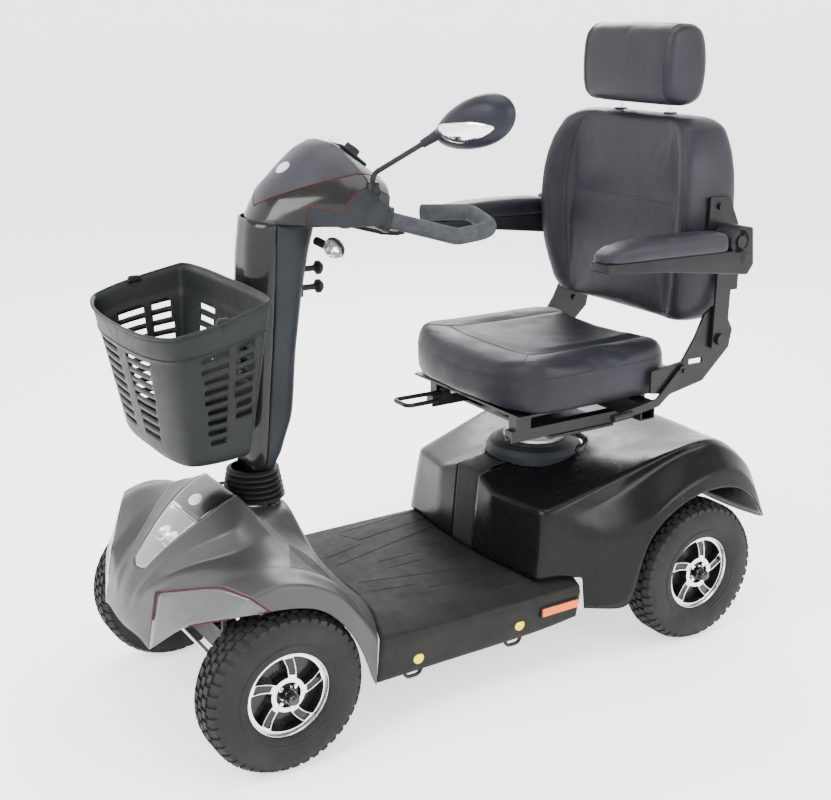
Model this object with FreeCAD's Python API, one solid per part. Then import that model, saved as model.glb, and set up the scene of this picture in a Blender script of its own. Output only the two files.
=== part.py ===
"""Four-wheel mobility scooter with a swivelling captain seat.

Frame: +Z up, -Y is the way it drives, +X is the rider's left.  The origin is on
the ground, on the centre plane, half way between the two axles.  Units are mm.
"""
import FreeCAD, Part
import math
import os

V = FreeCAD.Vector
os.makedirs("parts", exist_ok=True)

# ---------------------------------------------------------------- driving sizes
WHEELBASE = 1040.0
FRONT_TRACK = 560.0
REAR_TRACK = 580.0
WHEEL_R = 165.0          # outside of the tread
TYRE_W = 96.0
RIM_R = 84.0             # bead seat
RIM_W = 76.0

FRONT_Y = -WHEELBASE / 2
REAR_Y = WHEELBASE / 2
FRONT_X = FRONT_TRACK / 2
REAR_X = REAR_TRACK / 2
AXLE_Z = WHEEL_R

KINGPIN_X = 215.0
KINGPIN_R = 10.0
HALF_SHAFT_R = 11.0
STEER_ARM = 80.0         # knuckle arm and pitman arm, equal lengths
COLUMN_Y = -430.0        # steering axis
STEM_R = 14.0
HEAD_Z0 = 230.0          # head tube
HEAD_Z1 = 420.0
TILT_Z = 474.0           # tiller tilt axis
RUN = 0.05               # radial running clearance
GAP = 0.5                # panel gap between neighbouring covers

RAIL_X = 80.0            # centre of each chassis rail
RAIL_W = 40.0
RAIL_Z0 = 150.0
RAIL_Z1 = 190.0
FLOOR_Z = 214.0
LOOP_YS = (-210.0, 44.0)  # tie-down eyes along each side
SKIN = 4.0               # moulded cover thickness

POST_Y = 290.0           # seat post
POST_R = 25.0
TOWER_R = 32.0
TOWER_TOP = 436.0

CUSHION_W = 480.0
HINGE_Y = 600.0          # backrest hinge
HINGE_Z = 690.0
BACK_LEAN = 1.0          # degrees
PLATE_X = 248.0          # inside of the seat side plates


# ---------------------------------------------------------------- small helpers
def box(x0, x1, y0, y1, z0, z1):
    return Part.makeBox(x1 - x0, y1 - y0, z1 - z0, V(x0, y0, z0))


def soft_box(x0, x1, y0, y1, z0, z1, r):
    """A block with every edge rounded."""
    block = box(x0, x1, y0, y1, z0, z1)
    return block.makeFillet(r, block.Edges)


def rod(a, b, r):
    a, b = V(*a), V(*b)
    return Part.makeCylinder(r, (b - a).Length, a, b - a)


def pipe(a, b, r_out, r_in):
    return rod(a, b, r_out).cut(rod(a, b, r_in))


def prism(points, push):
    """Flat outline through points, pushed along a vector."""
    wire = Part.makePolygon([V(*p) for p in points] + [V(*points[0])])
    return Part.Face(wire).extrude(V(*push))


def side_plate(outline_yz, x0, x1):
    return prism([(x0, y, z) for y, z in outline_yz], (x1 - x0, 0, 0))


def plan_prism(outline_xy, z0, z1):
    return prism([(x, y, z0) for x, y in outline_xy], (0, 0, z1 - z0))


def turned(profile, origin, axis):
    """Solid of revolution: profile is (radius, height along the axis) pairs."""
    points = [V(r, 0, h) for r, h in profile]
    face = Part.Face(Part.makePolygon(points + [points[0]]))
    solid = face.revolve(V(0, 0, 0), V(0, 0, 1), 360)
    turn = FreeCAD.Rotation(V(0, 0, 1), V(*axis))
    solid.Placement = FreeCAD.Placement(V(*origin), turn)
    return solid


def mirrored(shape):
    return shape.mirror(V(0, 0, 0), V(1, 0, 0))


def fuse(*shapes):
    whole = shapes[0].multiFuse(list(shapes[1:]))
    return whole.removeSplitter()


def bent_rod(points, r, bend):
    """Round bar along straight runs joined by tangent arcs."""
    pts = [V(*p) for p in points]
    edges = []
    start = pts[0]
    for before, corner, after in zip(pts, pts[1:], pts[2:]):
        u = (before - corner).normalize()
        w = (after - corner).normalize()
        half = u.getAngle(w) / 2
        back = bend / math.tan(half)
        mid = (u + w).normalize()
        t0 = corner + u * back
        t1 = corner + w * back
        top = corner + mid * (bend / math.sin(half) - bend)
        edges.append(Part.LineSegment(start, t0).toShape())
        edges.append(Part.Arc(t0, top, t1).toShape())
        start = t1
    edges.append(Part.LineSegment(start, pts[-1]).toShape())
    path = Part.Wire(edges)
    ring = Part.Wire([Part.makeCircle(r, pts[0], pts[1] - pts[0])])
    return path.makePipeShell([ring], True, False)


def net_normals(net):
    """Unit normals of a net of points, by central differences."""
    rows, cols = len(net), len(net[0])
    out = []
    for i in range(rows):
        line = []
        for j in range(cols):
            du = net[min(i + 1, rows - 1)][j] - net[max(i - 1, 0)][j]
            dv = net[i][min(j + 1, cols - 1)] - net[i][max(j - 1, 0)]
            line.append(dv.cross(du).normalize())
        out.append(line)
    return out


def triangles(a, b, c, d):
    faces = []
    for tri in ((a, b, c), (a, c, d)):
        if (tri[1] - tri[0]).cross(tri[2] - tri[0]).Length > 1e-6:
            faces.append(Part.Face(Part.makePolygon([*tri, tri[0]])))
    return faces


def skin(half_ribs, thickness, patch=None):
    """Symmetric moulded panel.  Each rib runs from the centre plane out to +X.

    patch(row, column) picks the cells of the net that belong to the panel; the
    column counts out from the centre plane.
    """
    net = []
    for rib in half_ribs:
        outer = [V(*p) for p in rib]
        left = [V(-p.x, p.y, p.z) for p in reversed(outer) if p.x > 1e-6]
        net.append(left + outer)
    normals = net_normals(net)
    inner = [[p - n * thickness for p, n in zip(row, line)]
             for row, line in zip(net, normals)]
    rows, cols = len(net), len(net[0])
    middle = (cols - 1) // 2
    cells = set()
    for i in range(rows - 1):
        for j in range(cols - 1):
            out = j - middle if j >= middle else middle - 1 - j
            if patch is None or patch(i, out):
                cells.add((i, j))
    faces = []
    for i, j in sorted(cells):
        faces += triangles(net[i][j], net[i][j + 1], net[i + 1][j + 1], net[i + 1][j])
        faces += triangles(inner[i][j], inner[i + 1][j], inner[i + 1][j + 1], inner[i][j + 1])
        sides = [((i - 1, j), (i, j), (i, j + 1)), ((i + 1, j), (i + 1, j), (i + 1, j + 1)),
                 ((i, j - 1), (i, j), (i + 1, j)), ((i, j + 1), (i, j + 1), (i + 1, j + 1))]
        for neighbour, (a, b), (c, d) in sides:
            if neighbour not in cells:
                faces += triangles(net[a][b], net[c][d], inner[c][d], inner[a][b])
    sewn = Part.makeCompound(faces)
    sewn.sewShape()
    solids = []
    for piece in sewn.Shells:
        solid = Part.Solid(piece)
        if solid.Volume < 0:
            solid.reverse()
        solids.append(solid)
    return solids[0] if len(solids) == 1 else Part.makeCompound(solids)


def loft(sections, ruled=True):
    """Closed solid through flat polygons with equal numbers of points."""
    wires = [Part.makePolygon([V(*p) for p in s] + [V(*s[0])]) for s in sections]
    return Part.makeLoft(wires, True, ruled)


def facet_loft(sections):
    """Closed solid between outlines with equal point counts, made of flat triangles."""
    rings = [[V(*p) for p in section] for section in sections]
    count = len(rings[0])
    faces = []
    for a, b in zip(rings, rings[1:]):
        for k in range(count):
            m = (k + 1) % count
            faces += triangles(a[k], a[m], b[m], b[k])
    for ring in (rings[0], rings[-1]):
        faces.append(Part.Face(Part.makePolygon(ring + [ring[0]])))
    sewn = Part.makeCompound(faces)
    sewn.sewShape()
    solid = Part.Solid(sewn.Shells[0])
    if solid.Volume < 0:
        solid.reverse()
    return solid


def rounded_outline(half_x, y0, y1, r, z, steps=4):
    """Rounded rectangle in plan, as points, anticlockwise from +X."""
    corners = [(half_x - r, y0 + r, -90), (half_x - r, y1 - r, 0),
               (-half_x + r, y1 - r, 90), (-half_x + r, y0 + r, 180)]
    points = []
    for cx, cy, start in corners:
        for k in range(steps + 1):
            a = math.radians(start + 90.0 * k / steps)
            points.append((cx + r * math.cos(a), cy + r * math.sin(a), z))
    return points


def save(node, *shapes):
    solids = []
    for shape in shapes:
        solids += shape.Solids
    for solid in solids:
        if not solid.isValid() or solid.Volume <= 0:
            print("BAD SOLID in", node, solid.isValid(), round(solid.Volume))
    Part.makeCompound(solids).exportStep("parts/%s.step" % node)


# ---------------------------------------------------------------- chassis frame
def main_frame():
    rails = []
    for side in (-1, 1):
        x = side * RAIL_X
        outer = box(x - RAIL_W / 2, x + RAIL_W / 2, -495, 485, RAIL_Z0, RAIL_Z1)
        inner = box(x - RAIL_W / 2 + 3, x + RAIL_W / 2 - 3, -495, 485,
                    RAIL_Z0 + 3, RAIL_Z1 - 3)
        rails.append(outer.cut(inner))
    inside = RAIL_X - RAIL_W / 2
    cross = [box(-inside, inside, y - 15, y + 15, RAIL_Z0, RAIL_Z1)
             for y in (-330, -150, 30, 430)]
    head = pipe((0, COLUMN_Y, HEAD_Z0), (0, COLUMN_Y, HEAD_Z1), 26, 20)
    block = box(-30, 30, COLUMN_Y, COLUMN_Y + 44, HEAD_Z0, HEAD_Z1 - 20)
    block = block.cut(rod((0, COLUMN_Y, HEAD_Z0), (0, COLUMN_Y, HEAD_Z1), 26))
    bulkhead = box(-84, 84, COLUMN_Y + 44, COLUMN_Y + 52, RAIL_Z1, HEAD_Z1 - 40)
    brace_y = COLUMN_Y + 52
    braces = [side_plate([(brace_y, 340), (brace_y, RAIL_Z1), (brace_y + 110, RAIL_Z1)],
                         s * RAIL_X - 3, s * RAIL_X + 3) for s in (-1, 1)]
    beam = box(-190, 190, FRONT_Y - 24, FRONT_Y + 24, 140, 196)
    beam = beam.cut(box(-187, 187, FRONT_Y - 20, FRONT_Y + 20, 144, 192))
    bosses = []
    for side in (-1, 1):
        x = side * KINGPIN_X
        boss = pipe((x, FRONT_Y, 132), (x, FRONT_Y, 198), 19, KINGPIN_R + RUN)
        web = box(min(side * 190, x), max(side * 190, x), FRONT_Y - 14, FRONT_Y + 14, 140, 192)
        web = web.cut(rod((x, FRONT_Y, 100), (x, FRONT_Y, 230), 19))
        bosses += [boss, web]
    tower = pipe((0, POST_Y, 160), (0, POST_Y, TOWER_TOP), TOWER_R, POST_R + RUN)
    tray = box(-215, 215, 206, 416, RAIL_Z1, RAIL_Z1 + 3)
    tray = tray.cut(rod((0, POST_Y, 100), (0, POST_Y, 300), TOWER_R))
    gusset = box(-inside, inside, POST_Y - 45, POST_Y + 45, RAIL_Z0, RAIL_Z1)
    gusset = gusset.cut(rod((0, POST_Y, 100), (0, POST_Y, 300), TOWER_R))
    bearers = [box(-100, 100, y - 12, y + 12, RAIL_Z1, FLOOR_Z - SKIN - 0.6) for y in (-200, -40, 100)]
    outriggers = []
    for y in LOOP_YS:
        for side in (-1, 1):
            x0, x1 = sorted((side * 100.0, side * 240.0))
            d0, d1 = sorted((side * 226.0, side * 240.0))
            arm = box(x0, x1, y - 10, y + 10, 152, 168)
            outriggers.append(arm.fuse(box(d0, d1, y - 10, y + 10, 126, 152)))
    frame = rails + cross + [head, block, bulkhead, beam, tower, tray, gusset]
    return frame + braces + bosses + bearers + outriggers


head_bearings = [pipe((0, COLUMN_Y, z), (0, COLUMN_Y, z + 16), 20, STEM_R + RUN)
                 for z in (HEAD_Z0, HEAD_Z1 - 16)]
save("main_frame", *main_frame(), *head_bearings)


def battery(side):
    """Sealed lead-acid block with two bolt terminals and a lift strap."""
    x0, x1 = sorted((side * 38.0, side * 203.0))
    case = box(x0, x1, 214, 410, 194, 358)
    lid = box(x0 + 3, x1 - 3, 217, 407, 358, 364)
    posts = [rod((side * 60, y, 364), (side * 60, y, 372), 6) for y in (234, 390)]
    return [case.fuse(lid).removeSplitter()] + posts


save("batteries", *battery(1), *battery(-1))

controller_case = box(-70, 70, 432, 482, 242, 280)
controller_fins = [box(-66 + 12 * k, -60 + 12 * k, 435, 479, 280, 294) for k in range(11)]
controller_plugs = [box(-58 + 30 * k, -36 + 30 * k, 423, 432, 248, 270) for k in range(4)]
controller_feet = [box(s * 80 - 12, s * 80 + 12, 445, 469, RAIL_Z1, 242) for s in (-1, 1)]
controller_feet += [box(min(s * 70, s * 92), max(s * 70, s * 92), 445, 469, 242, 248)
                    for s in (-1, 1)]
save("controller", controller_case.multiFuse(controller_fins), *controller_plugs, *controller_feet)


def transaxle():
    shaft_r = HALF_SHAFT_R + RUN
    axle = pipe((-205, REAR_Y, AXLE_Z), (205, REAR_Y, AXLE_Z), 25, shaft_r)
    differential = turned([(shaft_r, -60), (48, -60), (66, -38), (66, 38), (48, 60), (shaft_r, 60)],
                          (0, REAR_Y, AXLE_Z), (1, 0, 0))
    lugs = [box(s * RAIL_X - 20, s * RAIL_X + 20, 485, REAR_Y, 152, 188) for s in (-1, 1)]
    bore = rod((-205, REAR_Y, AXLE_Z), (205, REAR_Y, AXLE_Z), shaft_r)
    neck = rod((0, REAR_Y + 60, AXLE_Z), (0, REAR_Y + 84, AXLE_Z), 38)
    body = axle.multiFuse([differential, neck] + lugs).cut(bore)
    return body.removeSplitter()


save("transaxle", transaxle())
motor_start = REAR_Y + 84
motor = rod((0, motor_start, AXLE_Z), (0, motor_start + 78, AXLE_Z), 46)
motor_box = box(-22, 22, motor_start + 12, motor_start + 52, AXLE_Z + 40, AXLE_Z + 62)
parking_brake = rod((0, motor_start + 78, AXLE_Z), (0, motor_start + 104, AXLE_Z), 36)

# freewheel lever: a short arm on a side pin of the motor brake
FREE_X, FREE_Y, FREE_Z = 37.0, motor_start + 92.0, 165.0
free_pin = rod((FREE_X - 1, FREE_Y, FREE_Z), (FREE_X + 15, FREE_Y, FREE_Z), 5)
save("drive_motor", motor.fuse(motor_box), parking_brake.fuse(free_pin))
free_hub = pipe((FREE_X + 3, FREE_Y, FREE_Z), (FREE_X + 11, FREE_Y, FREE_Z), 11, 5 + RUN)
free_arm = box(FREE_X + 3, FREE_X + 11, FREE_Y - 5, FREE_Y + 5, FREE_Z + 9, FREE_Z + 72)
free_knob = soft_box(FREE_X + 1, FREE_X + 33, FREE_Y - 8, FREE_Y + 8, FREE_Z + 70, FREE_Z + 88, 5)
save("freewheel_lever", fuse(free_hub, free_arm, free_knob))

# ---------------------------------------------------------------- front running gear
ARM_Z0, ARM_Z1 = 199.5, 209.5
STUD_Y = FRONT_Y - STEER_ARM


def knuckle(side):
    x = side * KINGPIN_X
    pin = rod((x, FRONT_Y, 121), (x, FRONT_Y, ARM_Z1), KINGPIN_R)
    low = rod((x, FRONT_Y, 119), (x, FRONT_Y, 131.5), 18)
    top = rod((x, FRONT_Y, ARM_Z0), (x, FRONT_Y, ARM_Z1), 18)
    out = sorted((x, side * 248))
    ears = [box(out[0], out[1], FRONT_Y - 15, FRONT_Y + 15, z0, z1)
            for z0, z1 in ((119, 131.5), (ARM_Z0, ARM_Z1))]
    web = sorted((side * 236, side * 248))
    ears.append(box(web[0], web[1], FRONT_Y - 15, FRONT_Y + 15, 119, ARM_Z1))
    shoulder = rod((side * 246, FRONT_Y, AXLE_Z), (side * 255, FRONT_Y, AXLE_Z), 14)
    stub = rod((side * 246, FRONT_Y, AXLE_Z), (side * (FRONT_X + 43), FRONT_Y, AXLE_Z), 8)
    arm = box(x - 9, x + 9, STUD_Y, FRONT_Y, ARM_Z0, ARM_Z1)
    eye = rod((x, STUD_Y, ARM_Z0), (x, STUD_Y, ARM_Z1), 11)
    low_stud = rod((x, STUD_Y, ARM_Z0 - 16), (x, STUD_Y, ARM_Z0), 5)
    parts = [low, top, shoulder, stub, arm, eye, low_stud] + ears
    if side > 0:
        parts.append(rod((x, STUD_Y, ARM_Z1), (x, STUD_Y, ARM_Z1 + 16), 5))
    return fuse(pin, *parts)


save("knuckle_left", knuckle(1))
save("knuckle_right", knuckle(-1))


def rod_end(x, y, z0, z1, hole):
    return pipe((x, y, z0), (x, y, z1), 13, hole)


def tie_rod():
    z0, z1 = ARM_Z0 - 14, ARM_Z0 - 2
    zm = (z0 + z1) / 2
    ends = [rod_end(KINGPIN_X, STUD_Y, z0, z1, 5 + RUN),
            rod_end(-KINGPIN_X, STUD_Y, z0, z1, 6.5)]
    bar = rod((-KINGPIN_X + 11, STUD_Y, zm), (KINGPIN_X - 11, STUD_Y, zm), 5)
    sleeves = [rod((s * 160, STUD_Y, zm), (s * 202, STUD_Y, zm), 8) for s in (-1, 1)]
    holes = [rod((KINGPIN_X, STUD_Y, z0), (KINGPIN_X, STUD_Y, z1), 5 + RUN),
             rod((-KINGPIN_X, STUD_Y, z0), (-KINGPIN_X, STUD_Y, z1), 6.5)]
    whole = fuse(bar, *ends, *sleeves)
    for hole in holes:
        whole = whole.cut(hole)
    return whole


def drag_link():
    z0, z1 = ARM_Z1 + 2, ARM_Z1 + 14
    zm = (z0 + z1) / 2
    a = V(0, COLUMN_Y - STEER_ARM, zm)
    b = V(KINGPIN_X, STUD_Y, zm)
    run = (b - a).normalize()
    p, q = a + run * 11, b - run * 11
    bar = rod(tuple(p), tuple(q), 5)
    ends = [rod_end(0, COLUMN_Y - STEER_ARM, z0, z1, 6.5),
            rod_end(KINGPIN_X, STUD_Y, z0, z1, 5 + RUN)]
    whole = fuse(bar, *ends)
    whole = whole.cut(rod((0, COLUMN_Y - STEER_ARM, z0), (0, COLUMN_Y - STEER_ARM, z1), 6.5))
    return whole.cut(rod((KINGPIN_X, STUD_Y, z0), (KINGPIN_X, STUD_Y, z1), 5 + RUN))


save("tie_rod", tie_rod())
save("drag_link", drag_link())


def steering_stem():
    """Steering shaft: pitman arm under the head tube, tilt fork on top."""
    arm_y = COLUMN_Y - STEER_ARM
    shaft = rod((0, COLUMN_Y, ARM_Z0), (0, COLUMN_Y, 446), STEM_R)
    arm = box(-9, 9, arm_y, COLUMN_Y, ARM_Z0, ARM_Z1)
    eye = rod((0, arm_y, ARM_Z0), (0, arm_y, ARM_Z1), 11)
    stud = rod((0, arm_y, ARM_Z1), (0, arm_y, ARM_Z1 + 16), 5)
    root = rod((0, COLUMN_Y, ARM_Z0), (0, COLUMN_Y, ARM_Z1 + 16), 20)
    collar = rod((0, COLUMN_Y, 422), (0, COLUMN_Y, 432), 24)
    plate = box(-36, 36, COLUMN_Y - 20, COLUMN_Y + 20, 440, 448)
    ears = [box(x - 4, x + 4, COLUMN_Y - 20, COLUMN_Y + 20, 448, TILT_Z + 16) for x in (-32, 32)]
    pin = rod((-36, COLUMN_Y, TILT_Z), (36, COLUMN_Y, TILT_Z), 8)
    return fuse(shaft, arm, eye, stud, root, collar, plate, pin, *ears)


save("steering_stem", steering_stem())


# ---------------------------------------------------------------- wheels
def tyre(axle_x, y):
    half = TYRE_W / 2
    profile = [(RIM_R, -RIM_W / 2 + 4), (RIM_R + 12, -RIM_W / 2 - 2), (118, -half), (138, -half + 1),
               (154, -half + 8), (163, -half + 20), (WHEEL_R, 0), (163, half - 20),
               (154, half - 8), (138, half - 1), (118, half), (RIM_R + 12, RIM_W / 2 + 2),
               (RIM_R, RIM_W / 2 - 4)]
    return turned(profile, (axle_x, y, AXLE_Z), (1, 0, 0))


def rim(axle_x, y, bore_r):
    """Cast alloy wheel: barrel, hub and four spokes, dished to the outside."""
    barrel = turned([(78, -RIM_W / 2 + 5), (RIM_R - 0.1, -RIM_W / 2 + 5), (RIM_R - 0.1, RIM_W / 2 - 5),
                     (78, RIM_W / 2 - 5)], (0, 0, 0), (1, 0, 0))
    lip = turned([(76, RIM_W / 2 - 5), (RIM_R - 0.1, RIM_W / 2 - 4), (RIM_R + 3.5, RIM_W / 2 + 1.5),
                  (78, RIM_W / 2 + 1.5)], (0, 0, 0), (1, 0, 0))
    disc = turned([(20, 20), (80, 20), (80, 31), (20, 38)], (0, 0, 0), (1, 0, 0))
    windows = []
    for k in range(4):
        a = 90.0 * k
        wedge = prism([(0, 38, -15), (0, 68, -24), (0, 70, 22), (0, 34, 13)], (60, 0, 0))
        wedge = wedge.rotate(V(0, 0, 0), V(1, 0, 0), a)
        windows.append(wedge)
    disc = disc.cut(Part.makeCompound(windows))
    hub = rod((-22, 0, 0), (44, 0, 0), 27)
    body = fuse(barrel, lip, disc, hub)
    body = body.cut(rod((-30, 0, 0), (60, 0, 0), bore_r))
    if axle_x < 0:
        body = mirrored(body)
    body.translate(V(axle_x, y, AXLE_Z))
    return body


def lug_nuts(axle_x, y):
    side = 1 if axle_x > 0 else -1
    nuts = []
    for k in range(4):
        a = math.radians(45 + 90 * k)
        c = (axle_x + side * 44, y + 18 * math.cos(a), AXLE_Z + 18 * math.sin(a))
        end = (c[0] + side * 7, c[1], c[2])
        nuts.append(rod(c, end, 5.5))
    return nuts


def hub_cap(axle_x, y):
    side = 1 if axle_x > 0 else -1
    return turned([(0, 44.1), (11.9, 44.1), (11.9, 60), (9, 68), (5, 72), (0, 73)],
                  (axle_x, y, AXLE_Z), (side, 0, 0))


for end, y, axle_x in (("front", FRONT_Y, FRONT_X), ("rear", REAR_Y, REAR_X)):
    for hand, side in (("left", 1), ("right", -1)):
        x = side * axle_x
        bore = 8 + RUN if end == "front" else HALF_SHAFT_R
        save("tyre_%s_%s" % (end, hand), tyre(x, y))
        wheel = [rim(x, y, bore), hub_cap(x, y)] + lug_nuts(x, y)
        if end == "rear":
            wheel.append(rod((side * 60, y, AXLE_Z), (side * (REAR_X + 44), y, AXLE_Z), HALF_SHAFT_R))
        save("rim_%s_%s" % (end, hand), *wheel)


# ---------------------------------------------------------------- bellows
def bellows():
    """Corrugated rubber boot between the front cover and the tiller."""
    outer, inner = [], []
    turns = 6
    pitch = 11.0
    z0 = 443.5
    for k in range(turns):
        r = 64.0 - 2.0 * k
        z = z0 + pitch * k
        outer += [(r - 7, z), (r, z + pitch * 0.35), (r, z + pitch * 0.65)]
        inner += [(r - 10, z), (r - 3, z + pitch * 0.35), (r - 3, z + pitch * 0.65)]
    top = z0 + pitch * turns
    outer.append((r - 7, top))
    inner.append((r - 10, top))
    return turned(outer + inner[::-1], (0, COLUMN_Y, 0), (0, 0, 1))


save("bellows", bellows())

# ---------------------------------------------------------------- tiller
MAST_W, MAST_D = 36.0, 28.0
BAR_Y, BAR_Z = -232.0, 1022.0
BAR_R = 11.0
GRIP_R = 16.0
TILLER_T = 3.0
COLUMN_SECTIONS = [       # height, front y, rear y, half width
    (512, -449, -396, 48),
    (545, -456, -380, 58),
    (620, -454, -352, 63),
    (741, -449, -341, 66),
    (869, -443, -322, 68),
    (950, -438, -304, 70),
    (999, -432, -290, 71),
]


def tiller_mast():
    block = rod((-27.5, COLUMN_Y, TILT_Z), (27.5, COLUMN_Y, TILT_Z), 17)
    neck = box(-20, 20, COLUMN_Y - 12, COLUMN_Y + 16, TILT_Z, 516)
    neck = neck.cut(rod((-30, COLUMN_Y, TILT_Z), (30, COLUMN_Y, TILT_Z), 12))
    sections = []
    for z, y in ((516, -428), (985, -398)):
        sections.append([(-MAST_W / 2, y, z), (MAST_W / 2, y, z),
                         (MAST_W / 2, y + MAST_D, z), (-MAST_W / 2, y + MAST_D, z)])
    mast = loft(sections)
    head = side_plate([(-398, 985), (-370, 985), (-340, 1008), (BAR_Y, 1008), (BAR_Y, 1036),
                       (-355, 1036), (-398, 1006)], -16, 16)
    clamp = rod((-20, BAR_Y, BAR_Z), (20, BAR_Y, BAR_Z), 20)
    whole = fuse(block, neck, mast, head, clamp)
    whole = whole.cut(rod((-40, COLUMN_Y, TILT_Z), (40, COLUMN_Y, TILT_Z), 8 + RUN))
    return whole.cut(rod((-40, BAR_Y, BAR_Z), (40, BAR_Y, BAR_Z), BAR_R))


def column_shell():
    outer, inner = [], []
    for z, y0, y1, half in COLUMN_SECTIONS:
        r = 0.42 * (y1 - y0)
        outer.append(rounded_outline(half, y0, y1, r, z))
        inner.append(rounded_outline(half - TILLER_T, y0 + TILLER_T, y1 - TILLER_T,
                                     r - TILLER_T, z))
    return loft(outer).cut(loft(inner))


SEAM = [(-424, 500), (-418, 620), (-404, 800), (-392, 1000)]
shell = column_shell()
front_zone = side_plate([(-480, 500)] + SEAM + [(-480, 1000)], -90, 90)
rear_zone = side_plate([(-200, 500)] + [(y + GAP, z) for y, z in SEAM] + [(-200, 1000)], -90, 90)
tiller_front = shell.common(front_zone)
tiller_rear = shell.common(rear_zone)

# charger socket on the right of the column, bag hook on its rider's side
SOCKET_Z = 800.0
SOCKET_Y = -386.0
SOCKET_X = -67.5          # mouth of the socket, on the rider's right
SOCKET_R = 9.0
SOCKET_DEEP = 30.0
HOOK_Z = 882.0
socket_hole = rod((-45, SOCKET_Y, SOCKET_Z), (-75, SOCKET_Y, SOCKET_Z), 14)
tiller_rear = tiller_rear.cut(socket_hole)
save("tiller_front_cover", tiller_front)
save("tiller_rear_cover", tiller_rear)
socket_floor = SOCKET_X + SOCKET_DEEP
socket_body = pipe((socket_floor, SOCKET_Y, SOCKET_Z), (SOCKET_X, SOCKET_Y, SOCKET_Z), 13.8, SOCKET_R)
socket_back = rod((socket_floor + 3, SOCKET_Y, SOCKET_Z), (socket_floor, SOCKET_Y, SOCKET_Z), 13.8)
save("charger_socket", fuse(socket_body, socket_back))


def bag_hook():
    """Two mushroom studs on one base."""
    base = box(-14, 14, -318, -311, HOOK_Z - 34, HOOK_Z + 34)
    studs = []
    for dz in (-19, 19):
        z = HOOK_Z + dz
        studs.append(turned([(0, 0), (9, 0), (6, 8), (6, 34), (14, 40), (14, 46), (8, 52), (0, 53)],
                            (0, -313, z), (0, 1, 0)))
    return fuse(base, *studs)


column_solid = loft([rounded_outline(h, a, b, 0.42 * (b - a), z) for z, a, b, h in COLUMN_SECTIONS])
save("bag_hook", bag_hook().cut(column_solid))

# ---------------------------------------------------------------- tiller head
HEAD_PROFILES = {          # distance from the centre plane: (y, z) outline
    0: [(-428, 1002), (-402, 1056), (-362, 1092), (-300, 1150), (-262, 1158),
        (-180, 1092), (-184, 1038), (-236, 1000)],
    62: [(-412, 1004), (-388, 1054), (-352, 1086), (-292, 1142), (-256, 1150),
         (-176, 1090), (-183, 1036), (-236, 998)],
    122: [(-330, 1004), (-330, 1038), (-312, 1068), (-270, 1102), (-244, 1112),
          (-170, 1076), (-180, 1030), (-236, 994)],
    176: [(-256, 1006), (-260, 1022), (-256, 1038), (-244, 1048), (-224, 1050),
          (-208, 1040), (-204, 1022), (-214, 1004)],
}


def head_loft(shrink, reach):
    sections = []
    stations = sorted(HEAD_PROFILES)
    order = [-s for s in reversed(stations) if s] + stations
    for x in order:
        if abs(x) > reach:
            continue
        outline = HEAD_PROFILES[abs(x)]
        cy = sum(p[0] for p in outline) / len(outline)
        cz = sum(p[1] for p in outline) / len(outline)
        sections.append([(x, cy + (y - cy) * shrink, cz + (z - cz) * shrink) for y, z in outline])
    return facet_loft(sections)


head = head_loft(1.0, 200).cut(head_loft(0.93, 125))
head = head.cut(box(-30, 30, -420, -330, 980, 1020))
head = head.cut(box(-24, 24, -258, -182, 980, 1014))
head = head.cut(box(-24, 24, BAR_Y - 26, BAR_Y + 26, 980, BAR_Z + 22))


def tunnel(a, b, r, sides=8):
    """Straight-sided passage whose flats lie at radius r from the line a-b."""
    way = V(*b) - V(*a)
    u = way.cross(V(0, 0, 1)).normalize()
    v = way.cross(u).normalize()
    corner = r / math.cos(math.pi / sides)
    points = []
    for k in range(sides):
        turn = 2 * math.pi * (k + 0.5) / sides
        points.append(tuple(V(*a) + u * (corner * math.cos(turn)) + v * (corner * math.sin(turn))))
    return prism(points, tuple(way))


BAR_CLEAR = GRIP_R + 1.2
head = head.cut(tunnel((-146, BAR_Y, BAR_Z), (146, BAR_Y, BAR_Z), BAR_CLEAR))
for s in (-1, 1):
    head = head.cut(tunnel((s * 124, BAR_Y - 10, BAR_Z + 3), (s * 240, -95, 982), BAR_CLEAR))
hood_zone = prism([(0, -500, 1036), (126, -500, 1098), (126, -500, 1200), (-126, -500, 1200),
                   (-126, -500, 1098)], (0, 252, 0))
hood_gap = prism([(0, -501, 1035.5), (127, -501, 1097.5), (127, -501, 1201), (-127, -501, 1201),
                  (-127, -501, 1097.5)], (0, 253.5, 0))
dash_hood = head.common(hood_zone)
head_shell = head.cut(hood_gap)

# instrument panel, laid on the rider's face of the head
PANEL_N = V(0, 66, 82).normalize()
PANEL_T = V(0, 82, -66).normalize()
PANEL_C = V(0, -221, 1125)


def on_panel(x, along, out=0.0):
    p = PANEL_C + PANEL_T * along + PANEL_N * out
    return (x, p.y, p.z)


def panel_rod(x, along, out0, out1, r):
    return rod(on_panel(x, along, out0), on_panel(x, along, out1), r)


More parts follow.
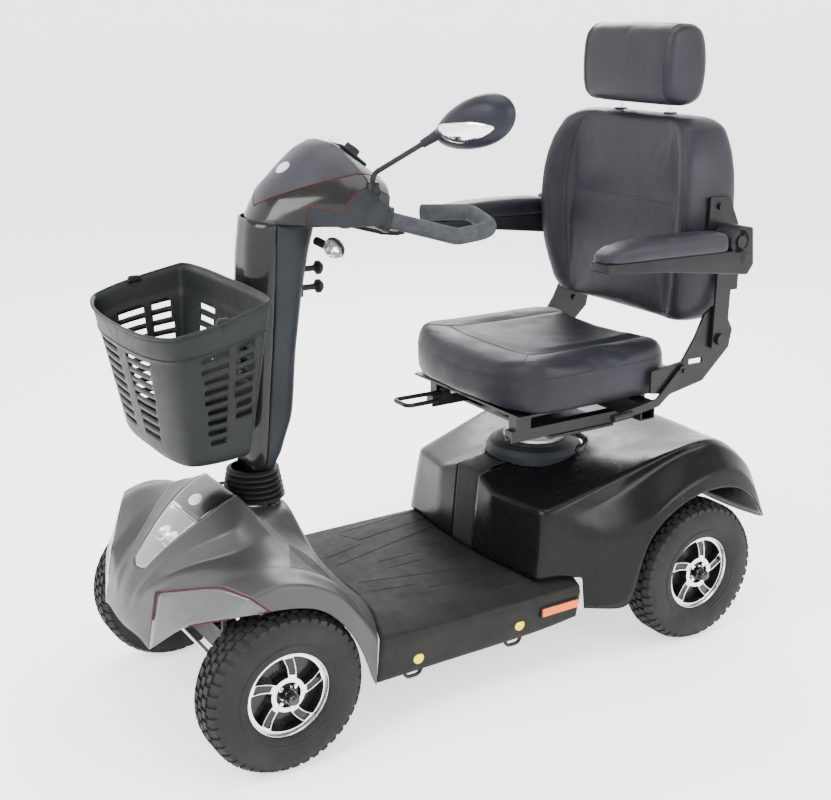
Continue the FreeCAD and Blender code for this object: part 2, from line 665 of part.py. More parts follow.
panel = prism([on_panel(-88, -40, 1), on_panel(88, -40, 1), on_panel(74, 34, 1),
               on_panel(-74, 34, 1)], tuple(PANEL_N * 4))
KNOB_X, KEY_X = 40.0, -44.0
BUTTONS = {"horn_button": (-8, 12), "lamp_button": (12, 12)}
KNOB_BORE = 4 + RUN
for x, along, r in ((KNOB_X, 2, KNOB_BORE), (KEY_X, 2, 6 + RUN)):
    panel = panel.cut(panel_rod(x, along, -5, 20, r))
for x, along in BUTTONS.values():
    panel = panel.cut(panel_rod(x, along, -5, 20, 6 + RUN))
window = prism([on_panel(-62, -20, -30), on_panel(62, -20, -30), on_panel(62, 26, -30),
                on_panel(-62, 26, -30)], tuple(PANEL_N * 45))
head_shell = head_shell.cut(window)
save("dash_hood", dash_hood)
gauge = prism([on_panel(-30, -34, 5), on_panel(30, -34, 5), on_panel(28, -12, 5),
               on_panel(-28, -12, 5)], tuple(PANEL_N * 2))
save("dash_panel", panel, gauge)
knob = fuse(panel_rod(KNOB_X, 2, -8, 8, 4), panel_rod(KNOB_X, 2, 5.6, 19, 16))
knob_mark = prism([on_panel(KNOB_X - 2, -14, 19), on_panel(KNOB_X + 2, -14, 19),
                   on_panel(KNOB_X + 2, 4, 19), on_panel(KNOB_X - 2, 4, 19)], tuple(PANEL_N * 2))
save("speed_knob", fuse(knob, knob_mark))
key_barrel = panel_rod(KEY_X, 2, -12, 7, 6)
key_bow = prism([on_panel(KEY_X - 1.5, -9, 7), on_panel(KEY_X + 1.5, -9, 7),
                 on_panel(KEY_X + 1.5, 13, 7), on_panel(KEY_X - 1.5, 13, 7)], tuple(PANEL_N * 26))
save("ignition_key", fuse(key_barrel, key_bow))
for node, (x, along) in BUTTONS.items():
    save(node, panel_rod(x, along, -4, 8, 6))


# ---------------------------------------------------------------- handlebar
def bar_path(side):
    return [(0, BAR_Y, BAR_Z), (side * 132, BAR_Y, BAR_Z), (side * 240, -95, 982),
            (side * 264, -24, 994), (side * 172, -20, 1014), (side * 104, -84, 1010)]


BAR_BEND = 30.0
halves = [bent_rod(bar_path(side), BAR_R, BAR_BEND) for side in (1, -1)]
save("handlebar", fuse(*halves))


def grip(side):
    path = bar_path(side)
    start = V(*path[1])
    run = (V(*path[2]) - start).normalize()
    path = [tuple(start + run * 34)] + path[2:]
    tail = (V(*path[-1]) - V(*path[-2])).normalize()
    path[-1] = tuple(V(*path[-1]) + tail * 6)
    sleeve = bent_rod(path, GRIP_R, BAR_BEND)
    return sleeve.cut(halves[0] if side > 0 else halves[1])


save("grips", grip(1), grip(-1))

# throttle: one rocking lever with a paddle under each grip
THROTTLE_Y, THROTTLE_Z = -205.0, 984.0


def throttle_lever():
    hub = pipe((0, THROTTLE_Y, THROTTLE_Z - 8), (0, THROTTLE_Y, THROTTLE_Z + 8), 14, 7 + RUN)
    parts = [hub]
    for s in (-1, 1):
        arm = prism([(s * 8, THROTTLE_Y - 8, THROTTLE_Z - 4), (s * 130, THROTTLE_Y + 6, THROTTLE_Z - 4),
                     (s * 130, THROTTLE_Y + 22, THROTTLE_Z - 4), (s * 8, THROTTLE_Y + 8, THROTTLE_Z - 4)],
                    (0, 0, 8))
        paddle = prism([(s * 130, THROTTLE_Y + 2, THROTTLE_Z - 4), (s * 158, THROTTLE_Y + 26, THROTTLE_Z - 4),
                        (s * 150, THROTTLE_Y + 48, THROTTLE_Z - 4), (s * 122, THROTTLE_Y + 30, THROTTLE_Z - 4)],
                       (0, 0, 8))
        parts += [arm, paddle]
    whole = fuse(*parts)
    return whole.cut(rod((0, THROTTLE_Y, THROTTLE_Z - 20), (0, THROTTLE_Y, THROTTLE_Z + 20), 7 + RUN))


save("throttle_lever", throttle_lever())
pot = rod((0, THROTTLE_Y, THROTTLE_Z - 10), (0, THROTTLE_Y, THROTTLE_Z + 12), 7)
pot_case = box(-22, 22, THROTTLE_Y - 30, THROTTLE_Y + 14, THROTTLE_Z + 12, THROTTLE_Z + 20)

# ---------------------------------------------------------------- turn signals
SIGNAL = (128.0, -304.0, 962.0)


def signal_lens(side, long=36.0, radius=17.0, flat=-18.0, steps=10):
    """Half-egg lens: flat at its inner end, rounded at its outer end."""
    profile = [(0, flat)]
    for k in range(steps):
        h = flat + (long - flat) * k / steps
        profile.append((radius * math.sqrt(1 - (h / long) ** 2), h))
    profile.append((0, long))
    return turned(profile, (side * SIGNAL[0], SIGNAL[1], SIGNAL[2]), (side, 0, 0))


signals, stalks = [], []
for s in (1, -1):
    signals.append(signal_lens(s))
    stalk = rod((s * (SIGNAL[0] - 18), SIGNAL[1], SIGNAL[2]), (s * 66, SIGNAL[1], SIGNAL[2]), 9)
    stalks.append(stalk.cut(column_solid))
save("turn_signals", *signals, *stalks)

# ---------------------------------------------------------------- front cover
# Ribs run across the car from the centre plane outwards, listed from nose to floor.
FRONT_RIBS = [
    [(0, -726, 236), (20, -726, 236), (45, -725, 238), (85, -722, 241), (120, -717, 228),
     (205, -682, 302), (300, -612, 342), (330, -577, 355)],
    [(0, -722, 300), (18, -720, 302), (42, -714, 314), (75, -706, 322), (120, -696, 345),
     (254, -622, 392), (322, -590, 384), (333, -560, 355)],
    [(0, -692, 346), (24, -686, 350), (72, -656, 380), (92, -656, 362), (140, -650, 376),
     (262, -590, 404), (326, -560, 392), (334, -535, 353)],
    [(0, -640, 402), (46, -636, 400), (116, -600, 418), (132, -602, 388), (185, -592, 396),
     (262, -560, 407), (326, -530, 396), (335, -500, 348)],
    [(0, -582, 450), (69, -578, 446), (161, -544, 449), (172, -549, 407), (215, -540, 404),
     (264, -528, 406), (325, -492, 390), (335, -455, 334)],
    [(0, -540, 476), (76, -535, 474), (134, -512, 456), (164, -508, 425), (232, -502, 402),
     (282, -478, 396), (324, -448, 372), (332, -415, 300)],
    [(0, -503, 487), (74, -500, 485), (103, -492, 472), (150, -462, 420), (222, -445, 388),
     (280, -420, 368), (320, -398, 335), (324, -378, 250)],
    [(0, -496, 442), (68, -484, 441), (98, -470, 440), (140, -440, 396), (212, -410, 360),
     (276, -390, 345), (318, -374, 300), (314, -356, 210)],
    [(0, -372, 434), (62, -376, 432), (92, -384, 402), (130, -372, 350), (200, -356, 310),
     (262, -345, 298), (306, -342, 262), (302, -338, 172)],
    [(0, -322, 310), (66, -324, 306), (96, -326, 292), (134, -326, 272), (190, -322, 258),
     (252, -318, 248), (294, -320, 232), (286, -318, 126)],
    [(0, -250, 218), (66, -250, 218), (98, -250, 218), (134, -251, 218), (182, -262, 218),
     (240, -284, 216), (284, -304, 208), (276, -304, 102)],
]
LIP_CELLS = (4, 5, 6)      # columns of the first row that form the fender lips


def is_lip(row, column):
    return row == 0 and column in LIP_CELLS


front_body = skin(FRONT_RIBS, SKIN, lambda row, column: not is_lip(row, column))
front_body = front_body.cut(rod((0, COLUMN_Y, 380), (0, COLUMN_Y, 520), 50))
LENS_PLAN = [(0, -697), (40, -662), (68, -580), (-68, -580), (-40, -662)]
COVER_PLAN = [(69, -579), (78, -536), (76, -499), (-76, -499), (-78, -536), (-69, -579)]


def grown(outline, gap):
    """Outline pushed out from its centroid by about a gap."""
    cx = sum(p[0] for p in outline) / len(outline)
    cy = sum(p[1] for p in outline) / len(outline)
    out = []
    for x, y in outline:
        d = math.hypot(x - cx, y - cy)
        out.append((x + (x - cx) / d * gap, y + (y - cy) / d * gap))
    return out


lens_zone = plan_prism(LENS_PLAN, 300, 500)
cover_zone = plan_prism(COVER_PLAN, 430, 500)
headlight_lens = front_body.common(lens_zone)
nose_cover = front_body.common(cover_zone)
front_shroud = front_body.cut(plan_prism(grown(LENS_PLAN, 0.6), 290, 510))
front_shroud = front_shroud.cut(plan_prism(grown(COVER_PLAN, 0.6), 425, 510))
save("front_shroud", front_shroud)
save("nose_cover", nose_cover)
save("fender_panels", skin(FRONT_RIBS, SKIN, is_lip))

lamp_housing = loft([[(0, -660, 330), (24, -640, 352), (-24, -640, 352)],
                     [(0, -600, 330), (50, -575, 405), (-50, -575, 405)]])
lamp_bulbs = [rod((s * 16, -612, 402), (s * 16, -625, 418), 9) for s in (-1, 1)]
save("headlight", headlight_lens, lamp_housing.cut(Part.makeCompound(lamp_bulbs)))

# ---------------------------------------------------------------- floor
FLOOR_RIBS = [
    [(0, -246, 214), (96, -246, 214), (180, -258, 212), (276, -296, 200), (282, -300, 182), (272, -300, 103)],
    [(0, -180, 214), (128, -180, 214), (200, -182, 209), (280, -184, 198), (286, -184, 182), (272, -184, 104)],
    [(0, -60, 214), (180, -60, 214), (232, -60, 206), (283, -60, 197), (288, -60, 182), (273, -60, 105)],
    [(0, 60, 214), (236, 60, 213), (258, 60, 206), (285, 60, 196), (289, 60, 182), (274, 60, 106)],
    [(0, 140, 214), (250, 140, 213), (266, 140, 205), (285, 140, 196), (289, 140, 182), (275, 140, 110)],
    [(0, 205, 214), (252, 205, 213), (268, 205, 205), (285, 205, 196), (289, 205, 182), (277, 205, 118)],
]
floor_pan = skin(FLOOR_RIBS, SKIN)
for s in (-1, 1):      # notches that let a strap hook reach each eye from the side
    for y in LOOP_YS:
        floor_pan = floor_pan.cut(box(min(s * 250, s * 300), max(s * 250, s * 300), y - 24, y + 24, 90, 119))


def tie_down(side, y):
    """U-shaped wire eye under the edge of the floor."""
    x = side * 262
    path = [(x, y - 20, 120), (x, y - 20, 88), (x, y + 20, 88), (x, y + 20, 120)]
    return bent_rod(path, 4, 14)


loops = [tie_down(s, y) for s in (-1, 1) for y in LOOP_YS]
loop_bars = [box(min(s * 232, s * 266), max(s * 232, s * 266), y - 26, y + 26, 120, 126)
             for s in (-1, 1) for y in LOOP_YS]
save("tie_down_loops", *loops, *loop_bars)


def reflector(side, gap=0.0):
    x0, x1 = sorted((side * (279.0 - gap), side * (293.0 + gap)))
    return box(x0, x1, 98 - gap, 200 + gap, 146 - gap, 170 + gap)


for side in (-1, 1):
    floor_pan = floor_pan.cut(reflector(side, 0.4))
save("floor_pan", floor_pan)

# ---------------------------------------------------------------- rear cover
REAR_RIBS = [
    [(0, 88, 218), (38, 88, 218), (110, 92, 218), (258, 109, 218), (270, 165, 219), (285, 212, 212),
     (288, 218, 138)],
    [(0, 95, 305), (39, 95, 304), (106, 95, 295), (255, 120, 292), (276, 178, 284), (292, 222, 240),
     (312, 270, 132)],
    [(0, 104, 399), (40, 104, 398), (100, 97, 374), (248, 130, 368), (272, 195, 340), (294, 226, 297),
     (330, 312, 130)],
    [(0, 170, 410), (42, 170, 409), (106, 165, 390), (258, 200, 386), (272, 245, 356), (308, 270, 302),
     (337, 322, 178)],
    [(0, 290, 425), (45, 290, 424), (114, 250, 408), (270, 290, 410), (270, 310, 378), (326, 330, 312),
     (339, 340, 262)],
    [(0, 400, 436), (50, 400, 435), (130, 360, 426), (280, 385, 436), (268, 395, 408), (332, 380, 345),
     (340, 372, 312)],
    [(0, 500, 442), (60, 500, 441), (152, 465, 438), (284, 470, 458), (274, 475, 440), (334, 425, 374),
     (341, 440, 355)],
    [(0, 600, 444), (70, 600, 444), (184, 565, 447), (286, 545, 471), (292, 562, 460), (336, 515, 402),
     (342, 525, 374)],
    [(0, 680, 436), (80, 680, 436), (190, 660, 440), (264, 640, 452), (302, 640, 430), (336, 612, 414),
     (342, 618, 362)],
    [(0, 728, 384), (90, 728, 384), (190, 720, 382), (264, 705, 388), (306, 692, 372), (334, 680, 340),
     (340, 670, 322)],
    [(0, 742, 240), (90, 742, 240), (200, 738, 240), (270, 735, 246), (312, 728, 254), (330, 718, 262),
     (337, 704, 276)],
]
rear_body = skin(REAR_RIBS, SKIN)
COLLAR_R = 112.0
rear_body = rear_body.cut(rod((0, POST_Y, 380), (0, POST_Y, 500), COLLAR_R))
rear_shroud = rear_body
tail_lamps = []
for side in (-1, 1):
    x0, x1 = sorted((side * 205.0, side * 262.0))
    zone = box(x0, x1, 690, 760, 292, 350)
    rear_shroud = rear_shroud.cut(box(x0 - 0.6, x1 + 0.6, 690, 760, 291.4, 350.6))
    tail_lamps.append(rear_body.common(zone))
save("rear_shroud", rear_shroud)
save("reflectors", reflector(1), reflector(-1), *tail_lamps)
collar = turned([(TOWER_R + 0.5, 404), (COLLAR_R - 0.4, 404), (COLLAR_R - 0.4, 424), (104, 436),
                 (88, 444), (76, 445), (TOWER_R + 0.5, 445)], (0, POST_Y, 0), (0, 0, 1))
save("post_collar", collar)

# ---------------------------------------------------------------- basket
BASKET_RIM = [(0, -700), (120, -694), (196, -672), (218, -640), (224, -580), (212, -500),
              (196, -474), (110, -466), (0, -466)]
BASKET_BASE = [(0, -652), (90, -648), (150, -634), (168, -612), (170, -570), (160, -520),
               (146, -500), (80, -494), (0, -494)]
BASKET_TOP_Z = 872.0
BASKET_LOW_Z = 592.0
BASKET_T = 4.0


def full_outline(half, z, inset=0.0, tilt=0.0):
    cy = sum(p[1] for p in half) / len(half)
    points = []
    for x, y in half + [(-x, y) for x, y in reversed(half) if x > 0]:
        d = math.hypot(x, y - cy)
        k = (d - inset) / d
        yy = cy + (y - cy) * k
        points.append((x * k, yy, z + tilt * (yy + 580)))
    return points


RIM_TILT = 0.24


def basket():
    """Tapered tub with slotted walls; the rim rises towards the rider."""
    mid = [((a[0] + b[0]) / 2 + 3, (a[1] + b[1]) / 2) if a[0] else (0, (a[1] + b[1]) / 2)
           for a, b in zip(BASKET_RIM, BASKET_BASE)]
    outer = loft([full_outline(BASKET_BASE, BASKET_LOW_Z), full_outline(mid, 732, 0, RIM_TILT / 2),
                  full_outline(BASKET_RIM, BASKET_TOP_Z, 0, RIM_TILT)])
    inner = loft([full_outline(BASKET_BASE, BASKET_LOW_Z + BASKET_T, BASKET_T),
                  full_outline(mid, 732, BASKET_T, RIM_TILT / 2),
                  full_outline(BASKET_RIM, BASKET_TOP_Z + 0.01, BASKET_T, RIM_TILT)])
    tub = outer.cut(inner)
    slots = []
    for k in range(8):
        z = 640 + 24 * k
        slots.append(box(-112, -22, -720, -560, z, z + 9))
        slots.append(box(22, 112, -720, -560, z, z + 9))
        slots.append(box(-240, -100, -618, -540, z + 6, z + 15))
        slots.append(box(100, 240, -618, -540, z + 6, z + 15))
        if k < 6:
            slots.append(box(40, 130, -530, -440, z, z + 9))
            slots.append(box(-130, -40, -530, -440, z, z + 9))
    return tub.cut(Part.makeCompound(slots))


save("basket", basket())
hanger_plate = box(-26, 26, -464.6, -459, 700, 820)
hanger_arms = [box(x0, x1, -459, -448, z, z + 14) for x0, x1 in ((-22, -8), (8, 22)) for z in (716, 796)]
hanger_arms = [arm.cut(column_solid) for arm in hanger_arms]
save("tiller_mast", fuse(tiller_mast(), pot, pot_case), hanger_plate, *hanger_arms)

# ---------------------------------------------------------------- mirror
MIRROR_FOOT = (150, -228, 1036)
MIRROR_TOP = (262, -168, 1173)
MIRROR_C = V(345, -134, 1204)
MIRROR_LONG = V(0.857, 0.358, 0.330).normalize()
MIRROR_FACE = V(-0.385, 0.923, 0.0).normalize()
MIRROR_UP = MIRROR_FACE.cross(MIRROR_LONG).normalize()
STEM_TURN = (150, -228, 1100)
mirror_stem = bent_rod([MIRROR_FOOT, STEM_TURN, MIRROR_TOP], 5, 24)
save("mirror_stem", mirror_stem)
boss = turned([(0, 0), (15, 0), (12, 26), (0, 26)], (150, -228, 1058), (0, 0, 1))
head_shell = head_shell.fuse(boss).cut(rod((150, -228, 1035), (150, -228, 1100), 5 + RUN))
save("head_shell", head_shell)


def mirror_oval(half_long, half_high, push):
    """Egg outline facing the rider, wider at its outer end."""
    points = []
    for k in range(20):
        a = 2 * math.pi * k / 20
        high = half_high * (1 + 0.16 * math.cos(a))
        p = MIRROR_C + MIRROR_LONG * (half_long * math.cos(a)) + MIRROR_UP * (high * math.sin(a))
        points.append(tuple(p + MIRROR_FACE * push))
    return points


mirror_case = loft([mirror_oval(30, 16, -30), mirror_oval(66, 34, -22), mirror_oval(84, 44, -2),
                    mirror_oval(86, 45, 8)])
stem_way = (V(*MIRROR_TOP) - V(*STEM_TURN)).normalize()
socket_start = tuple(V(*MIRROR_TOP) - stem_way * 22)
bore_end = tuple(V(*MIRROR_TOP) + stem_way * 0.6)
mirror_case = mirror_case.fuse(rod(socket_start, tuple(V(*MIRROR_TOP) + stem_way * 26), 9))
mirror_case = mirror_case.cut(rod(socket_start, bore_end, 5 + RUN))
mirror_case = mirror_case.cut(prism(mirror_oval(80, 40, 4), tuple(MIRROR_FACE * 10)))
mirror_glass = prism(mirror_oval(79.5, 39.5, 4), tuple(MIRROR_FACE * 3))
save("mirror_head", mirror_case, mirror_glass)

# ---------------------------------------------------------------- seat post and slide
DISC_Z = 447.0
POST_TOP = 499.5
PLATE_Z = 500.0
post = rod((0, POST_Y, 250), (0, POST_Y, POST_TOP), POST_R)
post = post.cut(rod((0, POST_Y, 250), (0, POST_Y, 430), POST_R - 4))
post_disc = rod((0, POST_Y, DISC_Z), (0, POST_Y, DISC_Z + 6), 72)
post_nut = box(-26, 26, POST_Y - 26, POST_Y + 26, DISC_Z + 6, DISC_Z + 28)
save("seat_post", fuse(post, post_disc, post_nut))
SLIDE_X = 155.0
turret = pipe((0, POST_Y, 478), (0, POST_Y, PLATE_Z), 34, POST_R + RUN)
swivel_pin = rod((60, 300, 474), (60, 300, PLATE_Z), 5)
turret_plate = box(-172, 172, POST_Y - 90, POST_Y + 90, PLATE_Z, PLATE_Z + 6)
lower_rails = [box(s * SLIDE_X - 8, s * SLIDE_X + 8, 130, 450, PLATE_Z + 6, PLATE_Z + 18) for s in (-1, 1)]
save("seat_base", fuse(turret, turret_plate, swivel_pin), *lower_rails)


def upper_rail(side):
    """Inverted channel running over the lower rail."""
    x = side * SLIDE_X
    outer = box(x - 13, x + 13, 100, 480, PLATE_Z + 7, PLATE_Z + 32)
    return outer.cut(box(x - 8.5, x + 8.5, 90, 490, PLATE_Z, PLATE_Z + 18.5))


TUBE_Y0, TUBE_Y1 = 385.0, 425.0
TUBE_X = 255.0
tube = box(-TUBE_X, TUBE_X, TUBE_Y0, TUBE_Y1, 532, 572)
tube = tube.cut(box(-TUBE_X, TUBE_X, TUBE_Y0 + 3, TUBE_Y1 - 3, 535, 569))
SIDE_OUTLINE = [(411, 590), (470, 580), (565, 597), (640, 665), (648, 705), (625, 745), (587, 765),
                (560, 750), (535, 700), (500, 650), (411, 640)]
PLATE_HOLE = (613.0, 730.0)
HINGE_R = 7.0
LEVER_PIVOT = (500.0, 630.0)
SLIDE_PIVOT = (120.0, 548.0)


def seat_side(side):
    x0, x1 = sorted((side * PLATE_X, side * (PLATE_X + 6)))
    plate = side_plate(SIDE_OUTLINE, x0, x1)
    plate = plate.cut(rod((x0 - 1, PLATE_HOLE[0], PLATE_HOLE[1]), (x1 + 1, PLATE_HOLE[0], PLATE_HOLE[1]), 6))
    plate = plate.cut(box(x0 - 1, x1 + 1, 520, 560, 640, 652))
    pin = rod((side * 242, HINGE_Y, HINGE_Z), (side * 270, HINGE_Y, HINGE_Z), HINGE_R)
    cap = rod((side * 266, HINGE_Y, HINGE_Z), (side * 272, HINGE_Y, HINGE_Z), 13)
    parts = [pin, cap]
    if side > 0:
        parts.append(rod((x0, *LEVER_PIVOT), (266, *LEVER_PIVOT), 5))
    return plate.multiFuse(parts)


pan = box(-205, 205, 90, 470, 572, 577)
spacers = [box(s * SLIDE_X - 13, s * SLIDE_X + 13, y - 20, y + 20, PLATE_Z + 32, 572) for s in (-1, 1)
           for y in (130, 455)]
back_bar = box(-PLATE_X, PLATE_X, 512, 536, 592, 616)
back_legs = [box(s * 150 - 15, s * 150 + 15, 470, 536, 572, 577) for s in (-1, 1)]
back_feet = [box(s * 150 - 15, s * 150 + 15, 512, 536, 577, 592) for s in (-1, 1)]
slide_pin = rod((-145, *SLIDE_PIVOT), (-112, *SLIDE_PIVOT), 4)
save("seat_frame", upper_rail(1), upper_rail(-1), tube, pan, back_bar, seat_side(1), seat_side(-1),
     spacers[0].fuse(slide_pin), *spacers[1:], *back_legs, *back_feet)


# ---------------------------------------------------------------- seat cushion
def sewn_pad(half_x, y0, y1, z0, z1, r):
    """Upholstered block with rounded edges."""
    return soft_box(-half_x, half_x, y0, y1, z0, z1, r)


cushion = sewn_pad(CUSHION_W / 2, 60, 494, 577, 695, 26)
save("seat_cushion", cushion)

# ---------------------------------------------------------------- backrest, modelled upright then leaned
PIVOT = V(0, HINGE_Y, HINGE_Z)
X_AXIS = V(1, 0, 0)


def lean(shape):
    shape = shape.copy()
    shape.rotate(PIVOT, X_AXIS, -BACK_LEAN)
    return shape


POST_X = 83.0
ARM_PIVOT = (558.0, 925.0)
ARM_PIN_R = 8.0
BACK_STATIONS = [      # height, half width, how far the side bolsters stand forward
    (722, 214, 0), (740, 232, 3), (790, 240, 14), (850, 252, 34), (980, 258, 40), (1080, 246, 30),
    (1150, 220, 14), (1172, 196, 4),
]


def back_section(z, half, wing):
    edge = 8 if 730 < z < 1160 else 22
    right = [(half - 68, 520), (half - 26, 520 - wing), (half - 6, 534 - wing), (half, 560 - wing * 0.6),
             (min(half, 250), 600), (min(half, 244) - edge, 636 - edge / 2)]
    left = [(-x, y) for x, y in reversed(right)]
    return [(x, y, z) for x, y in right + left]


back_pad = loft([back_section(*station) for station in BACK_STATIONS])
for s in (-1, 1):
    back_pad = back_pad.cut(rod((s * POST_X, 575, 1040), (s * POST_X, 575, 1180), 10))
save("backrest", lean(back_pad))
strip_outline = [(HINGE_Y - 22, HINGE_Z - 18), (HINGE_Y, HINGE_Z - 26), (HINGE_Y + 22, HINGE_Z - 18),
                 (HINGE_Y + 22, 960), (HINGE_Y - 22, 960)]


def back_strip(side):
    x0, x1 = sorted((side * 258.0, side * 264.0))
    strip = side_plate(strip_outline, x0, x1)
    strip = strip.cut(rod((side * 250, HINGE_Y, HINGE_Z), (side * 280, HINGE_Y, HINGE_Z), HINGE_R + RUN))
    bar = box(*sorted((side * 200.0, side * 258.0)), HINGE_Y + 38, HINGE_Y + 42, 800, 940)
    foot = box(*sorted((side * 258.0, side * 264.0)), HINGE_Y + 20, HINGE_Y + 42, 800, 940)
    return strip.multiFuse([foot, bar])


arm_plates = []
for side in (-1, 1):
    x0, x1 = sorted((side * 264.0, side * 270.0))
    plate = side_plate([(534, 884), (622, 884), (622, 950), (590, 1010), (534, 1010)], x0, x1)
    pin = rod((side * 264, *ARM_PIVOT), (side * 344, *ARM_PIVOT), ARM_PIN_R)
    nut = rod((side * 340.5, *ARM_PIVOT), (side * 347, *ARM_PIVOT), 13)
    bolt = rod((side * 270, 562, 990), (side * 276, 562, 990), 7)
    arm_plates.append(plate.multiFuse([pin, nut, bolt]))
back_cross = box(-200, 200, HINGE_Y + 38, HINGE_Y + 42, 850, 890)
sleeves = [pipe((s * POST_X, 575, 1100), (s * POST_X, 575, 1172), 10, 6 + RUN) for s in (-1, 1)]
collars = [pipe((s * POST_X, 575, 1172), (s * POST_X, 575, 1176), 15, 6 + RUN) for s in (-1, 1)]
guides = [a.fuse(b) for a, b in zip(sleeves, collars)]
save("backrest_frame", *[lean(shape) for shape in
                         [back_strip(1), back_strip(-1), back_cross] + arm_plates + guides])
head_pad = soft_box(-150, 150, 497, 622, 1192, 1366, 30)
head_posts = [rod((s * POST_X, 575, 1050), (s * POST_X, 575, 1192), 6) for s in (-1, 1)]
save("headrest", *[lean(shape) for shape in [head_pad] + head_posts])


def armrest(side):
    x0, x1 = sorted((side * 285.0, side * 340.0))
    base = side_plate([(196, 885), (350, 876), (590, 850), (606, 872), (596, 952), (556, 958),
                       (540, 903), (196, 903)], x0, x1)
    hub = rod((side * 285, *ARM_PIVOT), (side * 340, *ARM_PIVOT), 26)
    base = base.fuse(hub)
    base = base.cut(rod((side * 260, *ARM_PIVOT), (side * 350, *ARM_PIVOT), ARM_PIN_R + RUN))
    a0, a1 = sorted((side * 278.0, side * 348.0))
    pad = side_plate([(190, 903), (524, 903), (524, 946), (330, 946), (230, 934), (190, 916)], a0, a1)
    pad = pad.makeFillet(6, pad.Edges)
    return [lean(base), lean(pad)]


save("armrest_left", *armrest(1))
save("armrest_right", *armrest(-1))

# ---------------------------------------------------------------- seat levers
recline_plate = side_plate([(484, 634), (500, 612), (430, 560), (330, 548), (330, 564), (424, 578)], 257, 262)
recline = fuse(rod((256.5, *LEVER_PIVOT), (262, *LEVER_PIVOT), 14), recline_plate,
               rod((259.5, 352, 556), (259.5, 300, 553), 9))
save("recline_lever", recline.cut(rod((240, *LEVER_PIVOT), (270, *LEVER_PIVOT), 5 + RUN)))
slide_hub = pipe((-128, *SLIDE_PIVOT), (-114, *SLIDE_PIVOT), 10, 4 + RUN)
slide_bar = bent_rod([(-121, 111.5, 548), (-121, -20, 550), (-62, -20, 550), (-62, 60, 550)], 5, 14)
save("slide_lever", fuse(slide_hub, slide_bar))
SWIVEL_PIN = (60, 300)
swivel_hub = pipe((*SWIVEL_PIN, 477), (*SWIVEL_PIN, 487), 12, 5 + RUN)
swivel_bar = bent_rod([(68, 300, 482), (179, 300, 482), (198, 262, 474)], 4.5, 12)
swivel_knob = turned([(0, -11), (7, -9), (10, -3), (10, 4), (7, 9), (0, 11)], (198, 262, 474), (19, -38, -8))
save("swivel_lever", fuse(swivel_hub, swivel_bar, swivel_knob))
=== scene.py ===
"""Looks of the four-wheel mobility scooter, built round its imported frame."""
import bpy
import bmesh
import math
from mathutils import Matrix, Vector
from mathutils.bvhtree import BVHTree


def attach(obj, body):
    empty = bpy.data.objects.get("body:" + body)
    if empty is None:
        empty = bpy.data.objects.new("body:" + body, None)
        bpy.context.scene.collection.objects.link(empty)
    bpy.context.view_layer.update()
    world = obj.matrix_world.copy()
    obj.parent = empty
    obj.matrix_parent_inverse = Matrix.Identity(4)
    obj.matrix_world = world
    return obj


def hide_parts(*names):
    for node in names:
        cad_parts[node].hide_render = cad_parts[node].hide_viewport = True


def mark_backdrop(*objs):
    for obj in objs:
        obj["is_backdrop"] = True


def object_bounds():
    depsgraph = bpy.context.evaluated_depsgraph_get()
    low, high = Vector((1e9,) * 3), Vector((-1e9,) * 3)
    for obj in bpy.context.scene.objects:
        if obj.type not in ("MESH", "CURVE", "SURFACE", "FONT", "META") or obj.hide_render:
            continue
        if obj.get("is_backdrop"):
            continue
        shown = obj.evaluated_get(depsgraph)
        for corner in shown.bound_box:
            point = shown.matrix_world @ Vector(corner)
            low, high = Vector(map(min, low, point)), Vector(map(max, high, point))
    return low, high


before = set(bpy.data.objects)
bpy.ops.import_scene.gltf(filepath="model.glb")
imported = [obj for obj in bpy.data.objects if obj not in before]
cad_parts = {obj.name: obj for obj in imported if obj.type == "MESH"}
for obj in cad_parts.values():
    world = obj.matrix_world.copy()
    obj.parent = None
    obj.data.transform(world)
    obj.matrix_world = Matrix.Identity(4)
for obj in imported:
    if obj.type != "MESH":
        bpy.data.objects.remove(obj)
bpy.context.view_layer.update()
MM = 0.001


# ------------------------------------------------------------------ materials
def nodes_of(name):
    mat = bpy.data.materials.new(name)
    mat.use_nodes = True
    tree = mat.node_tree
    shader = tree.nodes["Principled BSDF"]
    coord = tree.nodes.new("ShaderNodeTexCoord")
    return mat, tree, shader, coord.outputs["Object"]


def noise_node(tree, coord, scale, detail=4.0, rough=0.55):
    tex = tree.nodes.new("ShaderNodeTexNoise")
    tex.inputs["Scale"].default_value = scale
    tex.inputs["Detail"].default_value = detail
    tex.inputs["Roughness"].default_value = rough
    tree.links.new(coord, tex.inputs["Vector"])
    return tex.outputs["Fac"]


def ramp(tree, value, low, high, a=0.35, b=0.65):
    node = tree.nodes.new("ShaderNodeValToRGB")
    node.color_ramp.elements[0].position = a
    node.color_ramp.elements[1].position = b
    node.color_ramp.elements[0].color = (*low, 1)
    node.color_ramp.elements[1].color = (*high, 1)
    tree.links.new(value, node.inputs["Fac"])
    return node.outputs["Color"]


def spread(tree, value, low, high):
    node = tree.nodes.new("ShaderNodeMapRange")
    node.inputs["To Min"].default_value = low
    node.inputs["To Max"].default_value = high
    node.inputs["From Min"].default_value = 0.3
    node.inputs["From Max"].default_value = 0.7
    tree.links.new(value, node.inputs["Value"])
    return node.outputs["Result"]


def bumped(tree, shader, height, strength, distance, before=None):
    node = tree.nodes.new("ShaderNodeBump")
    node.inputs["Strength"].default_value = strength
    node.inputs["Distance"].default_value = distance
    tree.links.new(height, node.inputs["Height"])
    if before:
        tree.links.new(before, node.inputs["Normal"])
    tree.links.new(node.outputs["Normal"], shader.inputs["Normal"])
    return node.outputs["Normal"]


